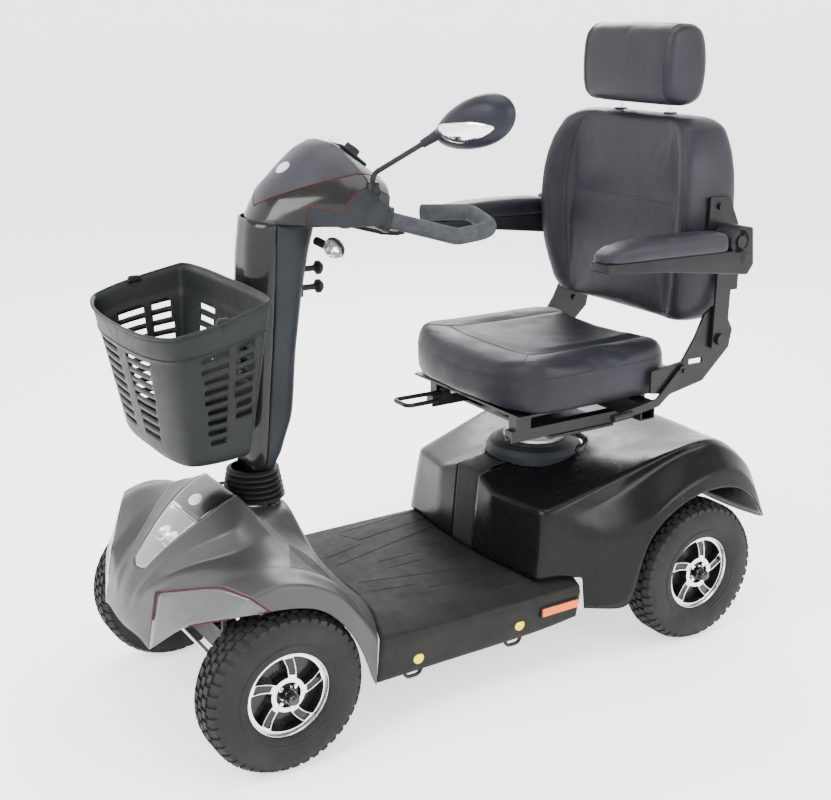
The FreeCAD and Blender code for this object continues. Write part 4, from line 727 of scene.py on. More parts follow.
def wheel_rim(name, centre, side, body, node, rear):
    x0, y0, z0 = (c * MM for c in centre)
    # barrel with lips
    barrel = [(80, -38), (87.5, -38), (88.5, -36), (86, -33), (84.2, -28), (76, -18), (76, 14), (84.2, 28),
              (86, 33),
              (88.5, 36), (87.5, 38.5), (84, 38.5), (81.5, 34), (79.5, 24), (74, 12), (72, -14), (78, -30)]
    ids = [1 if 7 <= k <= 11 else 0 for k in range(len(barrel))]
    rim = lathe(name + "_barrel", [(r * MM, h * MM * side) for r, h in barrel], (x0, y0, z0), (1, 0, 0),
                ["pocket", "bright"], 96, ids, closed=True)
    parts = [rim]
    # dished face: five swept windows, and a dark inset down each spoke
    radial, around = 44, 400
    verts, faces, ids, lows = [], [], [], []
    for i in range(radial + 1):
        r = 0.026 + (0.0830 - 0.026) * i / radial
        for j in range(around):
            th = 2 * math.pi * j / around
            phase = (th - side * 0.30 * ((r - 0.03) / 0.05)) * 5 / (2 * math.pi)
            off = abs(phase - round(phase)) * 2 * math.pi / 5 * r
            half_spoke = 0.0090 + 0.0030 * ((r - 0.03) / 0.05) ** 2
            window = off - half_spoke
            window = min(window, (0.0762 - r) * 1.0, (r - 0.0355) * 1.0)
            inset = min(half_spoke - 0.0022 - off, 0.0735 - r, r - 0.0400)
            level = 0.0
            if window > 0:
                level = -0.021 * min(1.0, window / 0.0016)
            elif inset > 0:
                level = -0.0026 * min(1.0, inset / 0.0008)
            out = 0.0365 - 0.0045 * (r - 0.026) / 0.057 + level
            verts.append((x0 + side * out, y0 + r * math.cos(th), z0 + r * math.sin(th)))
            lows.append(level)
    for i in range(radial):
        for j in range(around):
            k = (j + 1) % around
            quad = (i * around + j, i * around + k, (i + 1) * around + k, (i + 1) * around + j)
            faces.append(quad)
            ids.append(0 if sum(lows[q] for q in quad) / 4 < -0.0008 else 1)
    parts.append(make(name + "_face", verts, faces, ["pocket", "bright"], True, ids))
    hub = [(8, -30), (30, -30), (33, -26), (33, 18), (31, 26), (26, 29.5), (20, 30), (13, 29), (12, 34),
           (11, 44), (8, 46)]
    parts.append(lathe(name + "_hub", [(r * MM, h * MM * side) for r, h in hub], (x0, y0, z0), (1, 0, 0),
                       "pocket", 64))
    for k in range(4):
        a = math.radians(45 + 90 * k)
        c = (x0 + side * 0.0295, y0 + 0.021 * math.cos(a), z0 + 0.021 * math.sin(a))
        nut = [(0, 9), (3.2, 9), (5.2, 7.6), (5.6, 6.5), (5.6, 0), (7.4, 0), (7.4, -1.6), (0, -1.6)]
        parts.append(lathe(name + "_nut", [(r * MM, h * MM * side) for r, h in nut], c, (1, 0, 0), "chrome",
                           6 if k % 2 else 6))
    cap = [(0, 67), (5, 66.4), (9.4, 63), (11.6, 58), (12.4, 47), (13.6, 45), (13.6, 42), (8, 42)]
    parts.append(lathe(name + "_cap", [(r * MM, h * MM * side) for r, h in cap], (x0, y0, z0), (1, 0, 0),
                       "gloss", 48))
    if rear:
        axle = tube("axle", [(x0 - side * 0.22, y0, z0), (x0 + side * 0.04, y0, z0)], 0.011, "zinc")
        parts.append(axle)
    valve = tube("valve", [(x0 + side * 0.020, y0 + 0.070, z0 + 0.018),
                           (x0 + side * 0.038, y0 + 0.066, z0 + 0.017)],
                 0.0035, "rubber")
    parts.append(valve)
    whole = joined(name, parts)
    shade(whole, 30)
    place(whole, body, [node])


for end, y, x in (("front", -520, 280), ("rear", 520, 290)):
    for hand, side in (("left", 1), ("right", -1)):
        body = "wheel_%s%s" % (end[0], hand[0])
        tread_tyre("tread_%s_%s" % (end, hand), (side * x, y, 165), body, "tyre_%s_%s" % (end, hand))
        wheel_rim("alloy_%s_%s" % (end, hand), (side * x, y, 165), side, body, "rim_%s_%s" % (end, hand),
                  end == "rear")


# ------------------------------------------------------------------ small shapes used below
def rounded(points, radius, steps=8):
    """Polyline with its inner corners turned into arcs."""
    out = [Vector(points[0])]
    for k in range(1, len(points) - 1):
        p, a, b = Vector(points[k]), Vector(points[k - 1]), Vector(points[k + 1])
        d1, d2 = (a - p).normalized(), (b - p).normalized()
        turn = math.pi - d1.angle(d2)
        cut = min(radius * math.tan(turn / 2), (a - p).length * 0.49, (b - p).length * 0.49)
        start, end = p + d1 * cut, p + d2 * cut
        for t in range(steps + 1):
            u = t / steps
            out.append(start * (1 - u) ** 2 + p * 2 * u * (1 - u) + end * u * u)
    out.append(Vector(points[-1]))
    return out


def mm(x, y, z):
    return Vector((x, y, z)) * MM


def smooth_between(table, key, at):
    """Catmull-Rom value of a column of a table at a height."""
    n = len(table)
    k = 0
    while k < n - 2 and table[k + 1][0] < at:
        k += 1
    t = (at - table[k][0]) / (table[k + 1][0] - table[k][0])
    p1, p2 = table[k][key], table[k + 1][key]
    p0 = table[k - 1][key] if k else p1 * 2 - p2
    p3 = table[k + 2][key] if k + 2 < n else p2 * 2 - p1
    return 0.5 * (2 * p1 + (p2 - p0) * t + (2 * p0 - 5 * p1 + 4 * p2 - p3) * t * t
                  + (3 * p1 - p0 - 3 * p2 + p3) * t ** 3)


def closed_smooth(points, per=6):
    """Closed smooth outline through points."""
    out = []
    n = len(points)
    for k in range(n):
        p0, p1, p2, p3 = (Vector(points[(k + d) % n]) for d in (-1, 0, 1, 2))
        for s in range(per):
            t = s / per
            out.append(0.5 * (2 * p1 + (p2 - p0) * t + (2 * p0 - 5 * p1 + 4 * p2 - p3) * t * t
                              + (3 * p1 - p0 - 3 * p2 + p3) * t ** 3))
    return out


def resampled(points, count):
    """The polyline at evenly spaced stations."""
    dist = [0.0]
    for a, b in zip(points, points[1:]):
        dist.append(dist[-1] + (b - a).length)
    out = []
    k = 0
    for i in range(count):
        at = dist[-1] * i / (count - 1)
        while k < len(dist) - 2 and dist[k + 1] < at:
            k += 1
        span = dist[k + 1] - dist[k] or 1e-9
        out.append(points[k].lerp(points[k + 1], (at - dist[k]) / span))
    return out


def outward(ob, axis_point):
    """Turn the faces of an open shell away from a vertical axis."""
    mesh = ob.data
    total = sum((Vector((p.center.x, p.center.y)) - Vector(axis_point)).dot(Vector((p.normal.x, p.normal.y)))
                for p in mesh.polygons)
    if total < 0:
        mesh.flip_normals()
    return ob


def chains(pairs):
    """Ordered runs of linked vertex pairs."""
    links = {}
    for a, b in pairs:
        links.setdefault(a, []).append(b)
        links.setdefault(b, []).append(a)
    left = set(links)
    runs = []
    while left:
        ends = [v for v in left if len(links[v]) == 1]
        at = min(ends) if ends else min(left)
        run = [at]
        left.discard(at)
        while True:
            ahead = [v for v in links[at] if v in left]
            if not ahead:
                break
            at = min(ahead)
            left.discard(at)
            run.append(at)
        if run[0] in links[run[-1]] and len(run) > 2:
            run.append(run[0])
        runs.append(run)
    return runs


def extruded(name, outline, x0, x1, mat, soft=0.002, segments=3):
    """Flat outline in (y, z) pushed along x, with softened edges."""
    near = [Vector((x0, y, z)) * MM for y, z in outline]
    far = [Vector((x1, y, z)) * MM for y, z in outline]
    ob = rings(name, [near, far], mat, True, True, True)
    bm = bmesh.new()
    bm.from_mesh(ob.data)
    bmesh.ops.recalc_face_normals(bm, faces=bm.faces)
    bm.to_mesh(ob.data)
    bm.free()
    if soft:
        bevelled(ob, soft, segments)
        applied(ob)
    return shade(ob, 40)


def closed_up(ob):
    bm = bmesh.new()
    bm.from_mesh(ob.data)
    bmesh.ops.recalc_face_normals(bm, faces=bm.faces)
    bm.to_mesh(ob.data)
    bm.free()
    return ob


def hit(tree, start, way):
    found = tree.ray_cast(Vector(start), Vector(way).normalized())
    return (found[0], found[1]) if found[0] is not None else (None, None)


def tree_of(*obs):
    bm = bmesh.new()
    graph = bpy.context.evaluated_depsgraph_get()
    for ob in obs:
        mesh = bpy.data.meshes.new_from_object(ob.evaluated_get(graph))
        mesh.transform(ob.matrix_world)
        bm.from_mesh(mesh)
        bpy.data.meshes.remove(mesh)
    tree = BVHTree.FromBMesh(bm)
    bm.free()
    return tree


def laid(name, tree, points, way, radius, mat, out=0.0):
    """Cord of welt or a moulded line laid on a surface: points are thrown along a direction."""
    path = []
    for p in points:
        at, normal = hit(tree, p, way)
        if at is None:
            continue
        if normal.dot(Vector(way)) > 0:
            normal = -normal
        path.append(at + normal * out)
    if len(path) < 2:
        return None
    return tube(name, path, radius, mat, 3)


def stitched(name, tree, points, way, offset, mat="thread", pitch=0.007, length=0.0042, radius=0.0005):
    """Row of stitches beside a seam."""
    path, sides = [], []
    for p in points:
        at, normal = hit(tree, p, way)
        if at is not None:
            if normal.dot(Vector(way)) > 0:
                normal = -normal
            path.append(at)
            sides.append(normal)
    if len(path) < 3:
        return []
    out = []
    total = [0.0]
    for a, b in zip(path, path[1:]):
        total.append(total[-1] + (b - a).length)
    count = int(total[-1] / pitch)
    k = 0
    for i in range(count):
        at = (i + 0.5) * pitch
        while k < len(total) - 2 and total[k + 1] < at:
            k += 1
        run = (path[k + 1] - path[k]).normalized()
        side = run.cross(sides[k]).normalized()
        mid = path[k] + run * (at - total[k]) + side * offset + sides[k] * 0.0002
        again, normal = hit(tree, mid + sides[k] * 0.02, -sides[k])
        if again is not None:
            mid = again + sides[k] * 0.0002
        out.append((mid - run * length / 2, mid + run * length / 2))
    verts, faces = [], []
    for a, b in out:
        run = (b - a).normalized()
        u = run.orthogonal().normalized()
        v = run.cross(u)
        base = len(verts)
        for p, scale in ((a, 0.5), (a.lerp(b, 0.25), 1), (a.lerp(b, 0.75), 1), (b, 0.5)):
            for q in range(6):
                ang = q * math.pi / 3
                verts.append(p + (u * math.cos(ang) + v * math.sin(ang)) * radius * scale)
        for s in range(3):
            for q in range(6):
                n = (q + 1) % 6
                faces.append((base + s * 6 + q, base + s * 6 + n, base + s * 6 + 6 + n, base + s * 6 + 6 + q))
    return [make(name, verts, faces, mat)] if verts else []


def steps_between(points, spacing=0.008):
    """Points along a polyline at a fixed spacing."""
    total = sum((b - a).length for a, b in zip(points, points[1:]))
    return resampled(points, max(3, int(total / spacing)))


# ------------------------------------------------------------------ headlight
bowl_rings = []
for t in range(7):
    u = t / 6
    y = -0.668 + 0.085 * u
    half = 0.020 + 0.036 * u
    top = 0.345 + 0.082 * u
    low = 0.330 + 0.004 * u
    bowl_rings.append([Vector((-half, y, top)), Vector((-half * 0.8, y + 0.004, (top + low) / 2)),
                       Vector((-half * 0.4, y + 0.006, low)), Vector((half * 0.4, y + 0.006, low)),
                       Vector((half * 0.8, y + 0.004, (top + low) / 2)), Vector((half, y, top))])
bowl = rings("bowl", bowl_rings, "chrome", closed=False, caps=False)
lamp_parts = [bowl]
for s in (-1, 1):
    cup = [(0.004, 0), (0.010, 0.002), (0.0155, 0.008), (0.0175, 0.016), (0.0185, 0.016), (0.0165, 0.007),
           (0.010, -0.001), (0.004, -0.002)]
    lamp_parts.append(lathe("cup", cup, mm(s * 18, -612, 385), (0, -0.55, 0.83), "chrome", 32, closed=True))
    bulb = [(0, 0.018), (0.004, 0.017), (0.006, 0.013), (0.006, 0.004), (0.004, 0)]
    lamp_parts.append(lathe("bulb", bulb, mm(s * 18, -612, 385), (0, -0.55, 0.83), "clear", 20))
place(joined("headlight_inside", lamp_parts), "chassis", ["headlight"])

# plain oval badge on the nose panel
front_tree = tree_of(shroud, nose)
badge_ring = []
for k in range(25):
    a = 2 * math.pi * k / 24
    badge_ring.append((0.021 * math.cos(a), -0.558 + 0.012 * math.sin(a)))
nose_tree = tree_of(nose)


def decal(name, tree, outline, centre, way, depth, mat):
    """Thin plate following the surface under an outline seen along a direction."""
    verts, faces = [], []
    layers = [0.0, 0.5, 0.85, 1.0]
    lifts = [depth, depth, depth * 0.9, 0.0]
    count = len(outline)
    for scale, lift in zip(layers[1:], lifts[1:]):
        for p in outline:
            at, normal = hit(tree, centre + (p - centre) * scale, way)
            if at is None:
                at, normal = centre + (p - centre) * scale, -Vector(way)
            if normal.dot(Vector(way)) > 0:
                normal = -normal
            verts.append(at + normal * lift)
    at, normal = hit(tree, centre, way)
    verts.append((at if at is not None else centre) - Vector(way) * depth)
    for r in range(2):
        for k in range(count):
            n = (k + 1) % count
            faces.append((r * count + k, r * count + n, (r + 1) * count + n, (r + 1) * count + k))
    for k in range(count):
        faces.append((3 * count, (k + 1) % count, k))
    ob = make(name, verts, faces, mat)
    return closed_up(ob)


badge = decal("nose_badge", nose_tree, [Vector((x, y, 0.6)) for x, y in badge_ring[:-1]],
              Vector((0, -0.558, 0.6)),
              Vector((0, 0, -1)), 0.0012, "badge")
place(badge, "chassis")

# fine moulded louvres between the crest and the floor
louvres = []
for s in (-1, 1):
    for k in range(11):
        t = k / 10
        a = Vector((s * (0.256 - 0.108 * t), -0.478 + 0.052 * t, 0.7))
        b = Vector((s * (0.266 - 0.118 * t), -0.322 + 0.044 * t, 0.7))
        line = laid("louvre", front_tree, steps_between([a, b], 0.010), (0, 0, -1), 0.0016, "graphite",
                    -0.0002)
        if line:
            louvres.append(line)
place(joined("front_louvres", louvres), "chassis")
pan_top = tree_of(pan)
grooves = []
for s in (-1, 1):
    for line in groove_lines():
        points = rounded([Vector((s * x, y, 0.5)) for x, y in line], 0.02, 4)
        made = laid("groove", pan_top, steps_between(points, 0.006), (0, 0, -1), 0.0013, "tyre", -0.0004)
        if made:
            grooves.append(made)
place(joined("floor_grooves", grooves), "chassis")

# dark red joint round the fender lips
lip_lines = []
for s in (-1, 1):
    bm = bmesh.new()
    bm.from_mesh(lips.data)
    edges = [(e.verts[0].index, e.verts[1].index) for e in bm.edges if len(e.link_faces) == 1
             and s * (e.verts[0].co.x + e.verts[1].co.x) > 0]
    coords = [v.co.copy() for v in bm.verts]
    bm.free()
    for run in chains(edges):
        points = [coords[v] for v in run]
        keep = []
        for p in points:
            low = p.z < 0.30 + (abs(p.x) - 0.2) * 0.3 or (abs(p.x) > 0.29 and p.z < 0.352)
            keep.append(None if low else p)
        piece = []
        for p in keep + [None]:
            if p is None:
                if len(piece) > 2:
                    lip_lines.append(tube("joint", piece, 0.0011, "seam_red", 2))
                piece = []
            else:
                piece.append(p)
if lip_lines:
    place(joined("lip_joints", lip_lines), "chassis")

# ------------------------------------------------------------------ reflectors and lamps
side_lamps = []
for s in (-1, 1):
    x0, x1 = sorted((s * 0.2790, s * 0.2905))
    side_lamps.append(block("housing", (x0, 0.098, 0.146), (x1, 0.200, 0.170), "satin", 0.003))
    x0, x1 = sorted((s * 0.2895, s * 0.2932))
    side_lamps.append(block("amber", (x0, 0.101, 0.149), (x1, 0.197, 0.167), "amber", 0.0016))
place(joined("side_reflectors", side_lamps), "chassis", ["reflectors"])
rear_tree = tree_of(rear)


def lamp_patch(name, s, mat):
    """Curved lamp lens lying on the back of the rear cover."""
    verts, faces = [], []
    nu, nv = 14, 14
    for j in range(nv + 1):
        for i in range(nu + 1):
            u, v = i / nu, j / nv
            edge = min(1.0, 6 * min(u, 1 - u, v, 1 - v) + 0.15)
            at, _ = hit(rear_tree, (s * (0.205 + 0.057 * u), 0.9, 0.292 + 0.058 * v), (0, -1, 0))
            if at is None:
                at = Vector((s * (0.205 + 0.057 * u), 0.73, 0.292 + 0.058 * v))
            verts.append(at + Vector((0, 0.0045 * edge ** 0.5, 0)))
    for j in range(nv):
        for i in range(nu):
            a = j * (nu + 1) + i
            faces.append((a, a + 1, a + nu + 2, a + nu + 1))
    ob = make(name, verts, faces, mat)
    if ob.data.polygons[0].normal.y < 0:
        ob.data.flip_normals()
    thick(ob, 0.005)
    return ob


tails = [lamp_patch("tail", s, "red") for s in (-1, 1)]
place(joined("tail_lamps", tails), "chassis", ["reflectors"])

discs = []
for s in (-1, 1):
    for y, z, base in ((-0.205, 0.133, 0.2735), (0.048, 0.140, 0.2745)):
        start = Vector((s * 0.4, y, z))
        pan_tree = tree_of(pan)
        at, normal = hit(pan_tree, start, (-s, 0, 0))
        at = at if at is not None else Vector((s * base, y, z))
        profile = [(0, 0.0016), (0.0105, 0.0016), (0.0120, 0.0008), (0.0122, -0.001)]
        discs.append(lathe("disc", profile, at, (s, 0, 0), "yellow", 32))
place(joined("floor_discs", discs), "chassis")

# ------------------------------------------------------------------ tiller column
COLUMN_TABLE = [(512, -449, -396, 48), (545, -456, -380, 58), (620, -454, -352, 63), (741, -449, -341, 66),
                (869, -443, -322, 68), (950, -438, -304, 70), (999, -432, -290, 71), (1016, -430, -286, 70)]
SEAM_TABLE = [(500, -424), (620, -418), (800, -404), (1000, -392)]


def column_half(z, front):
    y0, y1, half = (smooth_between(COLUMN_TABLE, k, z) for k in (1, 2, 3))
    r = 0.42 * (y1 - y0)
    cut = smooth_between(SEAM_TABLE, 1, z)
    corners = [(half - r, y0 + r, -90), (half - r, y1 - r, 0), (-half + r, y1 - r, 90),
               (-half + r, y0 + r, 180)]
    loop = []
    for cx, cy, a0 in corners:
        for k in range(33):
            a = math.radians(a0 + 90 * k / 32)
            loop.append(Vector((cx + r * math.cos(a), cy + r * math.sin(a), z)) * MM)
    dense = resampled(loop + [loop[0]], 480)[:-1]
    if front:
        keep = [p for p in dense if p.y <= (cut - 0.4) * MM]
        keep.sort(key=lambda p: math.atan2(p.x, -(p.y - cut * MM) + 0.012))
    else:
        keep = [p for p in dense if p.y >= (cut + 0.4) * MM]
        keep.sort(key=lambda p: math.atan2(p.x, (p.y - cut * MM) + 0.02))
    return resampled(keep, 41)


heights = [512 + (1014 - 512) * k / 30 for k in range(31)]
for label, front, mat, node, slot_name in (("column_front", True, "column", "tiller_front_cover",
                                            "column_black"),
                                           ("column_rear", False, "collar", "tiller_rear_cover",
                                            "column_grey")):
    ob = rings(label, [column_half(z, front) for z in heights], mat, closed=False, caps=False)
    outward(ob, (0, -0.39))
    thick(ob, 0.003)
    place(ob, "tiller", [node])

# ------------------------------------------------------------------ tiller head
HEAD = {
    0: [(-428, 1002), (-402, 1056), (-362, 1092), (-300, 1150), (-262, 1158), (-180, 1092), (-184, 1038),
        (-236, 1000)],
    62: [(-412, 1004), (-388, 1054), (-352, 1086), (-292, 1142), (-256, 1150), (-176, 1090), (-183, 1036),
         (-236, 998)],
    122: [(-330, 1004), (-330, 1038), (-312, 1068), (-270, 1102), (-244, 1112), (-170, 1076), (-180, 1030),
          (-236, 994)],
    176: [(-256, 1006), (-260, 1022), (-256, 1038), (-244, 1048), (-224, 1050), (-208, 1040), (-204, 1022),
          (-214, 1004)],
}
head_sections = [[Vector((x, y, z)) * MM for y, z in HEAD[abs(x)]] for x in (-176, -122, -62, 0, 62, 122,
                                                                             176)]
head = rings("head_net", head_sections, ["column", "hood", "collar", "satin"], True, True)


def head_crease(a, b):
    ia, ja, ib, jb = a // 8, a % 8, b // 8, b % 8
    if ia == ib:
        if ia in (0, 6):
            return 0.85
        return 0.9 if ia in (2, 4) and {ja, jb} == {4, 5} else 0
    if ja == jb and ja in (4, 5):
        return 0.95 if 2 <= min(ia, ib) <= 3 else 0.5
    if ja == jb and ja == 0:
        return 0.5
    return 0.15


crease(head, head_crease)
subdivided(head, 4)
applied(head)
closed_up(head)
bm = bmesh.new()
bm.from_mesh(head.data)
for co, no in (((0, 0, 1.036), (-0.4921, 0, 1)), ((0, 0, 1.036), (0.4921, 0, 1)), ((0.150, 0, 0), (1, 0, 0)),
               ((-0.150, 0, 0), (1, 0, 0)), ((0, 0, 0.968), (0, 0.22, 1)), ((0.105, 0, 0), (1, 0, 0.0)),
               ((-0.105, 0, 0), (1, 0, 0.0))):
    bmesh.ops.bisect_plane(bm, geom=bm.verts[:] + bm.edges[:] + bm.faces[:], plane_co=co, plane_no=no)
for face in bm.faces:
    c = face.calc_center_median()
    if c.z > 1.036 + 0.4921 * abs(c.x):
        face.material_index = 1
    elif abs(c.x) > 0.150:
        face.material_index = 2
    elif abs(c.x) > 0.105 and c.z + 0.22 * c.y < 0.968:
        face.material_index = 2
    else:
        face.material_index = 0
    face.smooth = True
seam_pairs = []
for edge in bm.edges:
    if len({f.material_index for f in edge.link_faces}) > 1:
        seam_pairs.append((edge.verts[0].index, edge.verts[1].index))
bm.verts.ensure_lookup_table()
coords = [v.co.copy() for v in bm.verts]
bm.to_mesh(head.data)
bm.free()


def split_off(source, name, keep, wall=0.0025):
    bm = bmesh.new()
    bm.from_mesh(source.data)
    bmesh.ops.delete(bm, geom=[f for f in bm.faces if f.material_index not in keep], context="FACES")
    mesh = bpy.data.meshes.new(name)
    bm.to_mesh(mesh)
    bm.free()
    for m in source.data.materials:
        mesh.materials.append(m)
    ob = bpy.data.objects.new(name, mesh)
    bpy.context.scene.collection.objects.link(ob)
    thick(ob, wall)
    return ob


hood = split_off(head, "head_hood", {1})
shell = split_off(head, "head_body", {0, 2, 3})
seams = [tube("joint", [coords[v] for v in run], 0.0010, "seam_red",
              2) for run in chains(seam_pairs) if len(run) > 3]
place(hood, "tiller", ["dash_hood"])
place(shell, "tiller", ["head_shell"])
place(joined("head_joints", seams), "tiller")
head_tree = tree_of(head)
oval = [Vector((0.019 * math.cos(2 * math.pi * k / 24), -0.6, 1.105 + 0.010 * math.sin(2 * math.pi * k / 24)))
        for k in range(24)]
place(decal("head_badge", head_tree, oval, Vector((0, -0.6, 1.105)), Vector((0, 1, 0)), 0.0012, "badge"),
      "tiller")
PANEL_N = Vector((0, 66, 82)).normalized()
PANEL_T = Vector((0, 82, -66)).normalized()
PANEL_C = mm(0, -221, 1125)


def on_panel(x, along, out=0.0):
    return PANEL_C + (Vector((x, 0, 0)) + PANEL_T * along + PANEL_N * out) * MM


def plate(name, half_a, half_b, a, b, corner, lift, depth, mat):
    """Round-cornered plate in the plane of the panel."""
    corners = [(-half_a, a), (half_a, a), (half_b, b), (-half_b, b)]
    loop = []
    for k, (x, t) in enumerate(corners):
        p = Vector((x, t, 0))
        before, after = Vector((*corners[k - 1], 0)), Vector((*corners[(k + 1) % 4], 0))
        d1, d2 = (before - p).normalized() * corner, (after - p).normalized() * corner
        for q in range(7):
            u = q / 6
            loop.append((p + d1) * (1 - u) ** 2 + p * 2 * u * (1 - u) + (p + d2) * u * u)
    layers = []
    for inset, out in ((0.0, lift), (0.0, lift + depth * 0.7), (0.35 / max(half_a, 1), lift + depth),
                       (0.94, lift + depth)):
        centre = Vector((0, (a + b) / 2, 0))
        layers.append([on_panel(*(centre + (p - centre) * (1 - inset)).xy, out) for p in loop])
    return closed_up(rings(name, layers, mat, True, True))


panel_parts = [plate("dash", 70, 74, -34, 34, 12, -1.0, 5.0, "matte"),
               plate("gauge_frame", 34, 32, -30, -9, 6, 4.0, 2.6, "gloss"),
               plate("gauge_glass", 30, 28, -27, -12, 4, 6.4, 0.8, "clear"),
               plate("gauge_dial", 29, 27, -26, -13, 3, 6.2, 0.3, "badge")]
place(joined("dash_plate", panel_parts), "tiller", ["dash_panel"])
bpy.data.objects.remove(head)
ends = []
for s in (-1, 1):
    flare = [(0.0175, 0.026), (0.0235, 0.026), (0.0255, 0.022), (0.0255, 0.016), (0.0235, 0.006),
             (0.022, -0.004),
             (0.0175, -0.004)]
    ends.append(lathe("end", flare, mm(s * 146, -214, 1017), (s * 108, 137, -40), "collar", 48))
boss = [(0, 0.0), (0.0150, 0.0), (0.0145, 0.012), (0.0120, 0.0265), (0.0095, 0.028), (0.0052, 0.028)]
ends.append(lathe("boss", boss, mm(150, -228, 1058), (0, 0, 1), "satin", 40))
place(joined("head_ends", ends), "tiller", ["head_shell"])

# ------------------------------------------------------------------ grips
for side, label in ((1, "left"), (-1, "right")):
    path = [mm(side * 132, -232, 1022), mm(side * 240, -95, 982), mm(side * 264, -24, 994),
            mm(side * 172, -20, 1014), mm(side * 104, -84, 1010)]
    run = (path[1] - path[0]).normalized()
    path[0] = path[0] + run * 0.034
    tail = (path[-1] - path[-2]).normalized()
    path[-1] = path[-1] + tail * 0.004
    line = rounded(path, 0.030, 10)
    line = resampled(line, 90)
    extra = [line[-1] + tail * 0.0015, line[-1] + tail * 0.0026, line[-1] + tail * 0.003]
    radii = [1.0] * len(line) + [0.93, 0.75, 0.3]
    radii[0], radii[1] = 0.96, 0.99
    grip = tube("grip_%s" % label, line + extra, 0.0162, "foam", 8, radii=radii)
    place(grip, "tiller", ["grips"])

# ------------------------------------------------------------------ turn signals
signal_parts = []
for s in (-1, 1):
    centre = mm(s * 128, -304, 962)
    profile = [(0, -18)]
    for k in range(15):
        h = -18 + 54 * k / 14
        profile.append((17 * math.sqrt(max(0, 1 - (h / 36) ** 2)), h))
    pts = [(r * MM, h * MM) for r, h in profile]
    lens_egg = lathe("egg", pts, centre, (s, -0.25, -0.1), "clear", 40)
    cone = [(0.0005, -14), (0.009, -13), (0.0125, -4), (0.0118, 8), (0.008, 20), (0.0005, 27)]
    inner = lathe("inner", [(r, h * MM) for r, h in cone], centre + Vector((0, 0.002, 0)), (s, -0.25, -0.1),
                  "chrome", 12)
    for poly in inner.data.polygons:
        poly.use_smooth = False
    back = lathe("back", [(r * 1.06 + 0.0004, h * 1.04) for r, h in pts], centre + Vector((0, 0.0025, 0.001)),
                 (s, -0.25, -0.1), "satin", 40)
    bm = bmesh.new()
    bm.from_mesh(back.data)
    bmesh.ops.bisect_plane(bm, geom=bm.verts[:] + bm.edges[:] + bm.faces[:],
                           plane_co=centre + Vector((0, 0.003, 0)),
                           plane_no=(0, 1, 0.25), clear_inner=True)
    bm.to_mesh(back.data)
    bm.free()
    stalk = tube("stalk", [centre - Vector((s * 0.016, -0.002, 0)), centre - Vector((s * 0.034, -0.004, 0)),
                           mm(s * 64, -306, 968)], 0.0085, "satin")
    signal_parts += [lens_egg, inner, back, stalk]
place(joined("signals", signal_parts), "tiller", ["turn_signals"])

# ------------------------------------------------------------------ basket
RIM_HALF = [(0, -700), (120, -694), (196, -672), (218, -640), (224, -580), (212, -500), (196, -474),
            (110, -466),
            (0, -466)]
BASE_HALF = [(0, -652), (90, -648), (150, -634), (168, -612), (170, -570), (160, -520), (146, -500),
             (80, -494),
             (0, -494)]
TUB_N = 208


def loop_of(half):
    ring = [Vector((x, y, 0)) for x, y in half] + [Vector((-x, y, 0)) for x, y in reversed(half[1:-1])]
    smooth = closed_smooth(ring, 12)
    start = min(range(len(smooth)), key=lambda k: (smooth[k] - Vector((0, half[0][1], 0))).length)
    smooth = smooth[start:] + smooth[:start]
    return resampled(smooth + [smooth[0]], TUB_N + 1)[:-1]


rim_loop, base_loop = loop_of(RIM_HALF), loop_of(BASE_HALF)


def tub_ring(v, out=0.0):
    """Outline of the tub at a fraction of its height; the rim climbs towards the rider."""
    ring = []
    for a, b in zip(base_loop, rim_loop):
        p = a.lerp(b, v)
        z = 592 + (872 - 592 + 0.24 * (p.y + 580)) * v
        away = Vector((p.x, p.y + 578, 0)).normalized()
        ring.append((Vector((p.x, p.y, z)) + away * out) * MM)
    return ring


levels = [0.0, 0.02, 0.05, 0.09, 0.12]
slot_rows = []
for k in range(9):
    low = 0.145 + 0.075 * k
    levels += [low, low + 0.036]
    slot_rows.append((low, low + 0.036))
levels += [0.815, 0.822, 0.86, 0.90, 0.95, 1.0]
levels = sorted(set(levels))
outs = [(-6 if v == 0.0 else -2 if v == 0.02 else 0) + (0 if v < 0.82 else 1.6) for v in levels]
tub_rows = [tub_ring(v, o) for v, o in zip(levels, outs)]
verts = [p for row in tub_rows for p in row]
faces = []
for i in range(len(tub_rows) - 1):
    mid_v = (levels[i] + levels[i + 1]) / 2
    in_slot = next((n for n, (a, b) in enumerate(slot_rows) if a < mid_v < b), None)
    for j in range(TUB_N):
        k = (j + 1) % TUB_N
        c = (tub_rows[i][j] + tub_rows[i][k]) / 2 / MM
        x, y = abs(c.x), c.y
        open_here = False
        if in_slot is not None:
            narrow = in_slot * 4
            if y < -600 and 22 < x < 92 + narrow:
                open_here = True
            if x > 120 and -618 + (8 - in_slot) * 3 < y < -560:
                open_here = True
            if x > 120 and -545 < y < -508 and in_slot > 1:
                open_here = True
            if y > -508 and 52 < x < 118 and in_slot > 3:
                open_here = True
            if y > -508 and x < 20 and 6 <= in_slot <= 7:
                open_here = False
        if not open_here:
            faces.append((i * TUB_N + j, i * TUB_N + k, (i + 1) * TUB_N + k, (i + 1) * TUB_N + j))
wall = make("tub_wall", verts, faces, "basket")
outward(wall, (0, -0.578))
thick(wall, 0.0034)
bottom_loops = [[p.lerp(Vector((0, -0.573, 0.592)), f) for p in tub_rows[0]] for f in (0.0, 0.06, 0.5, 0.97)]
floor_ids = rings("tub_floor", bottom_loops, "basket", True, False)
if floor_ids.data.polygons[0].normal.z > 0:
    floor_ids.data.flip_normals()
thick(floor_ids, 0.0036)
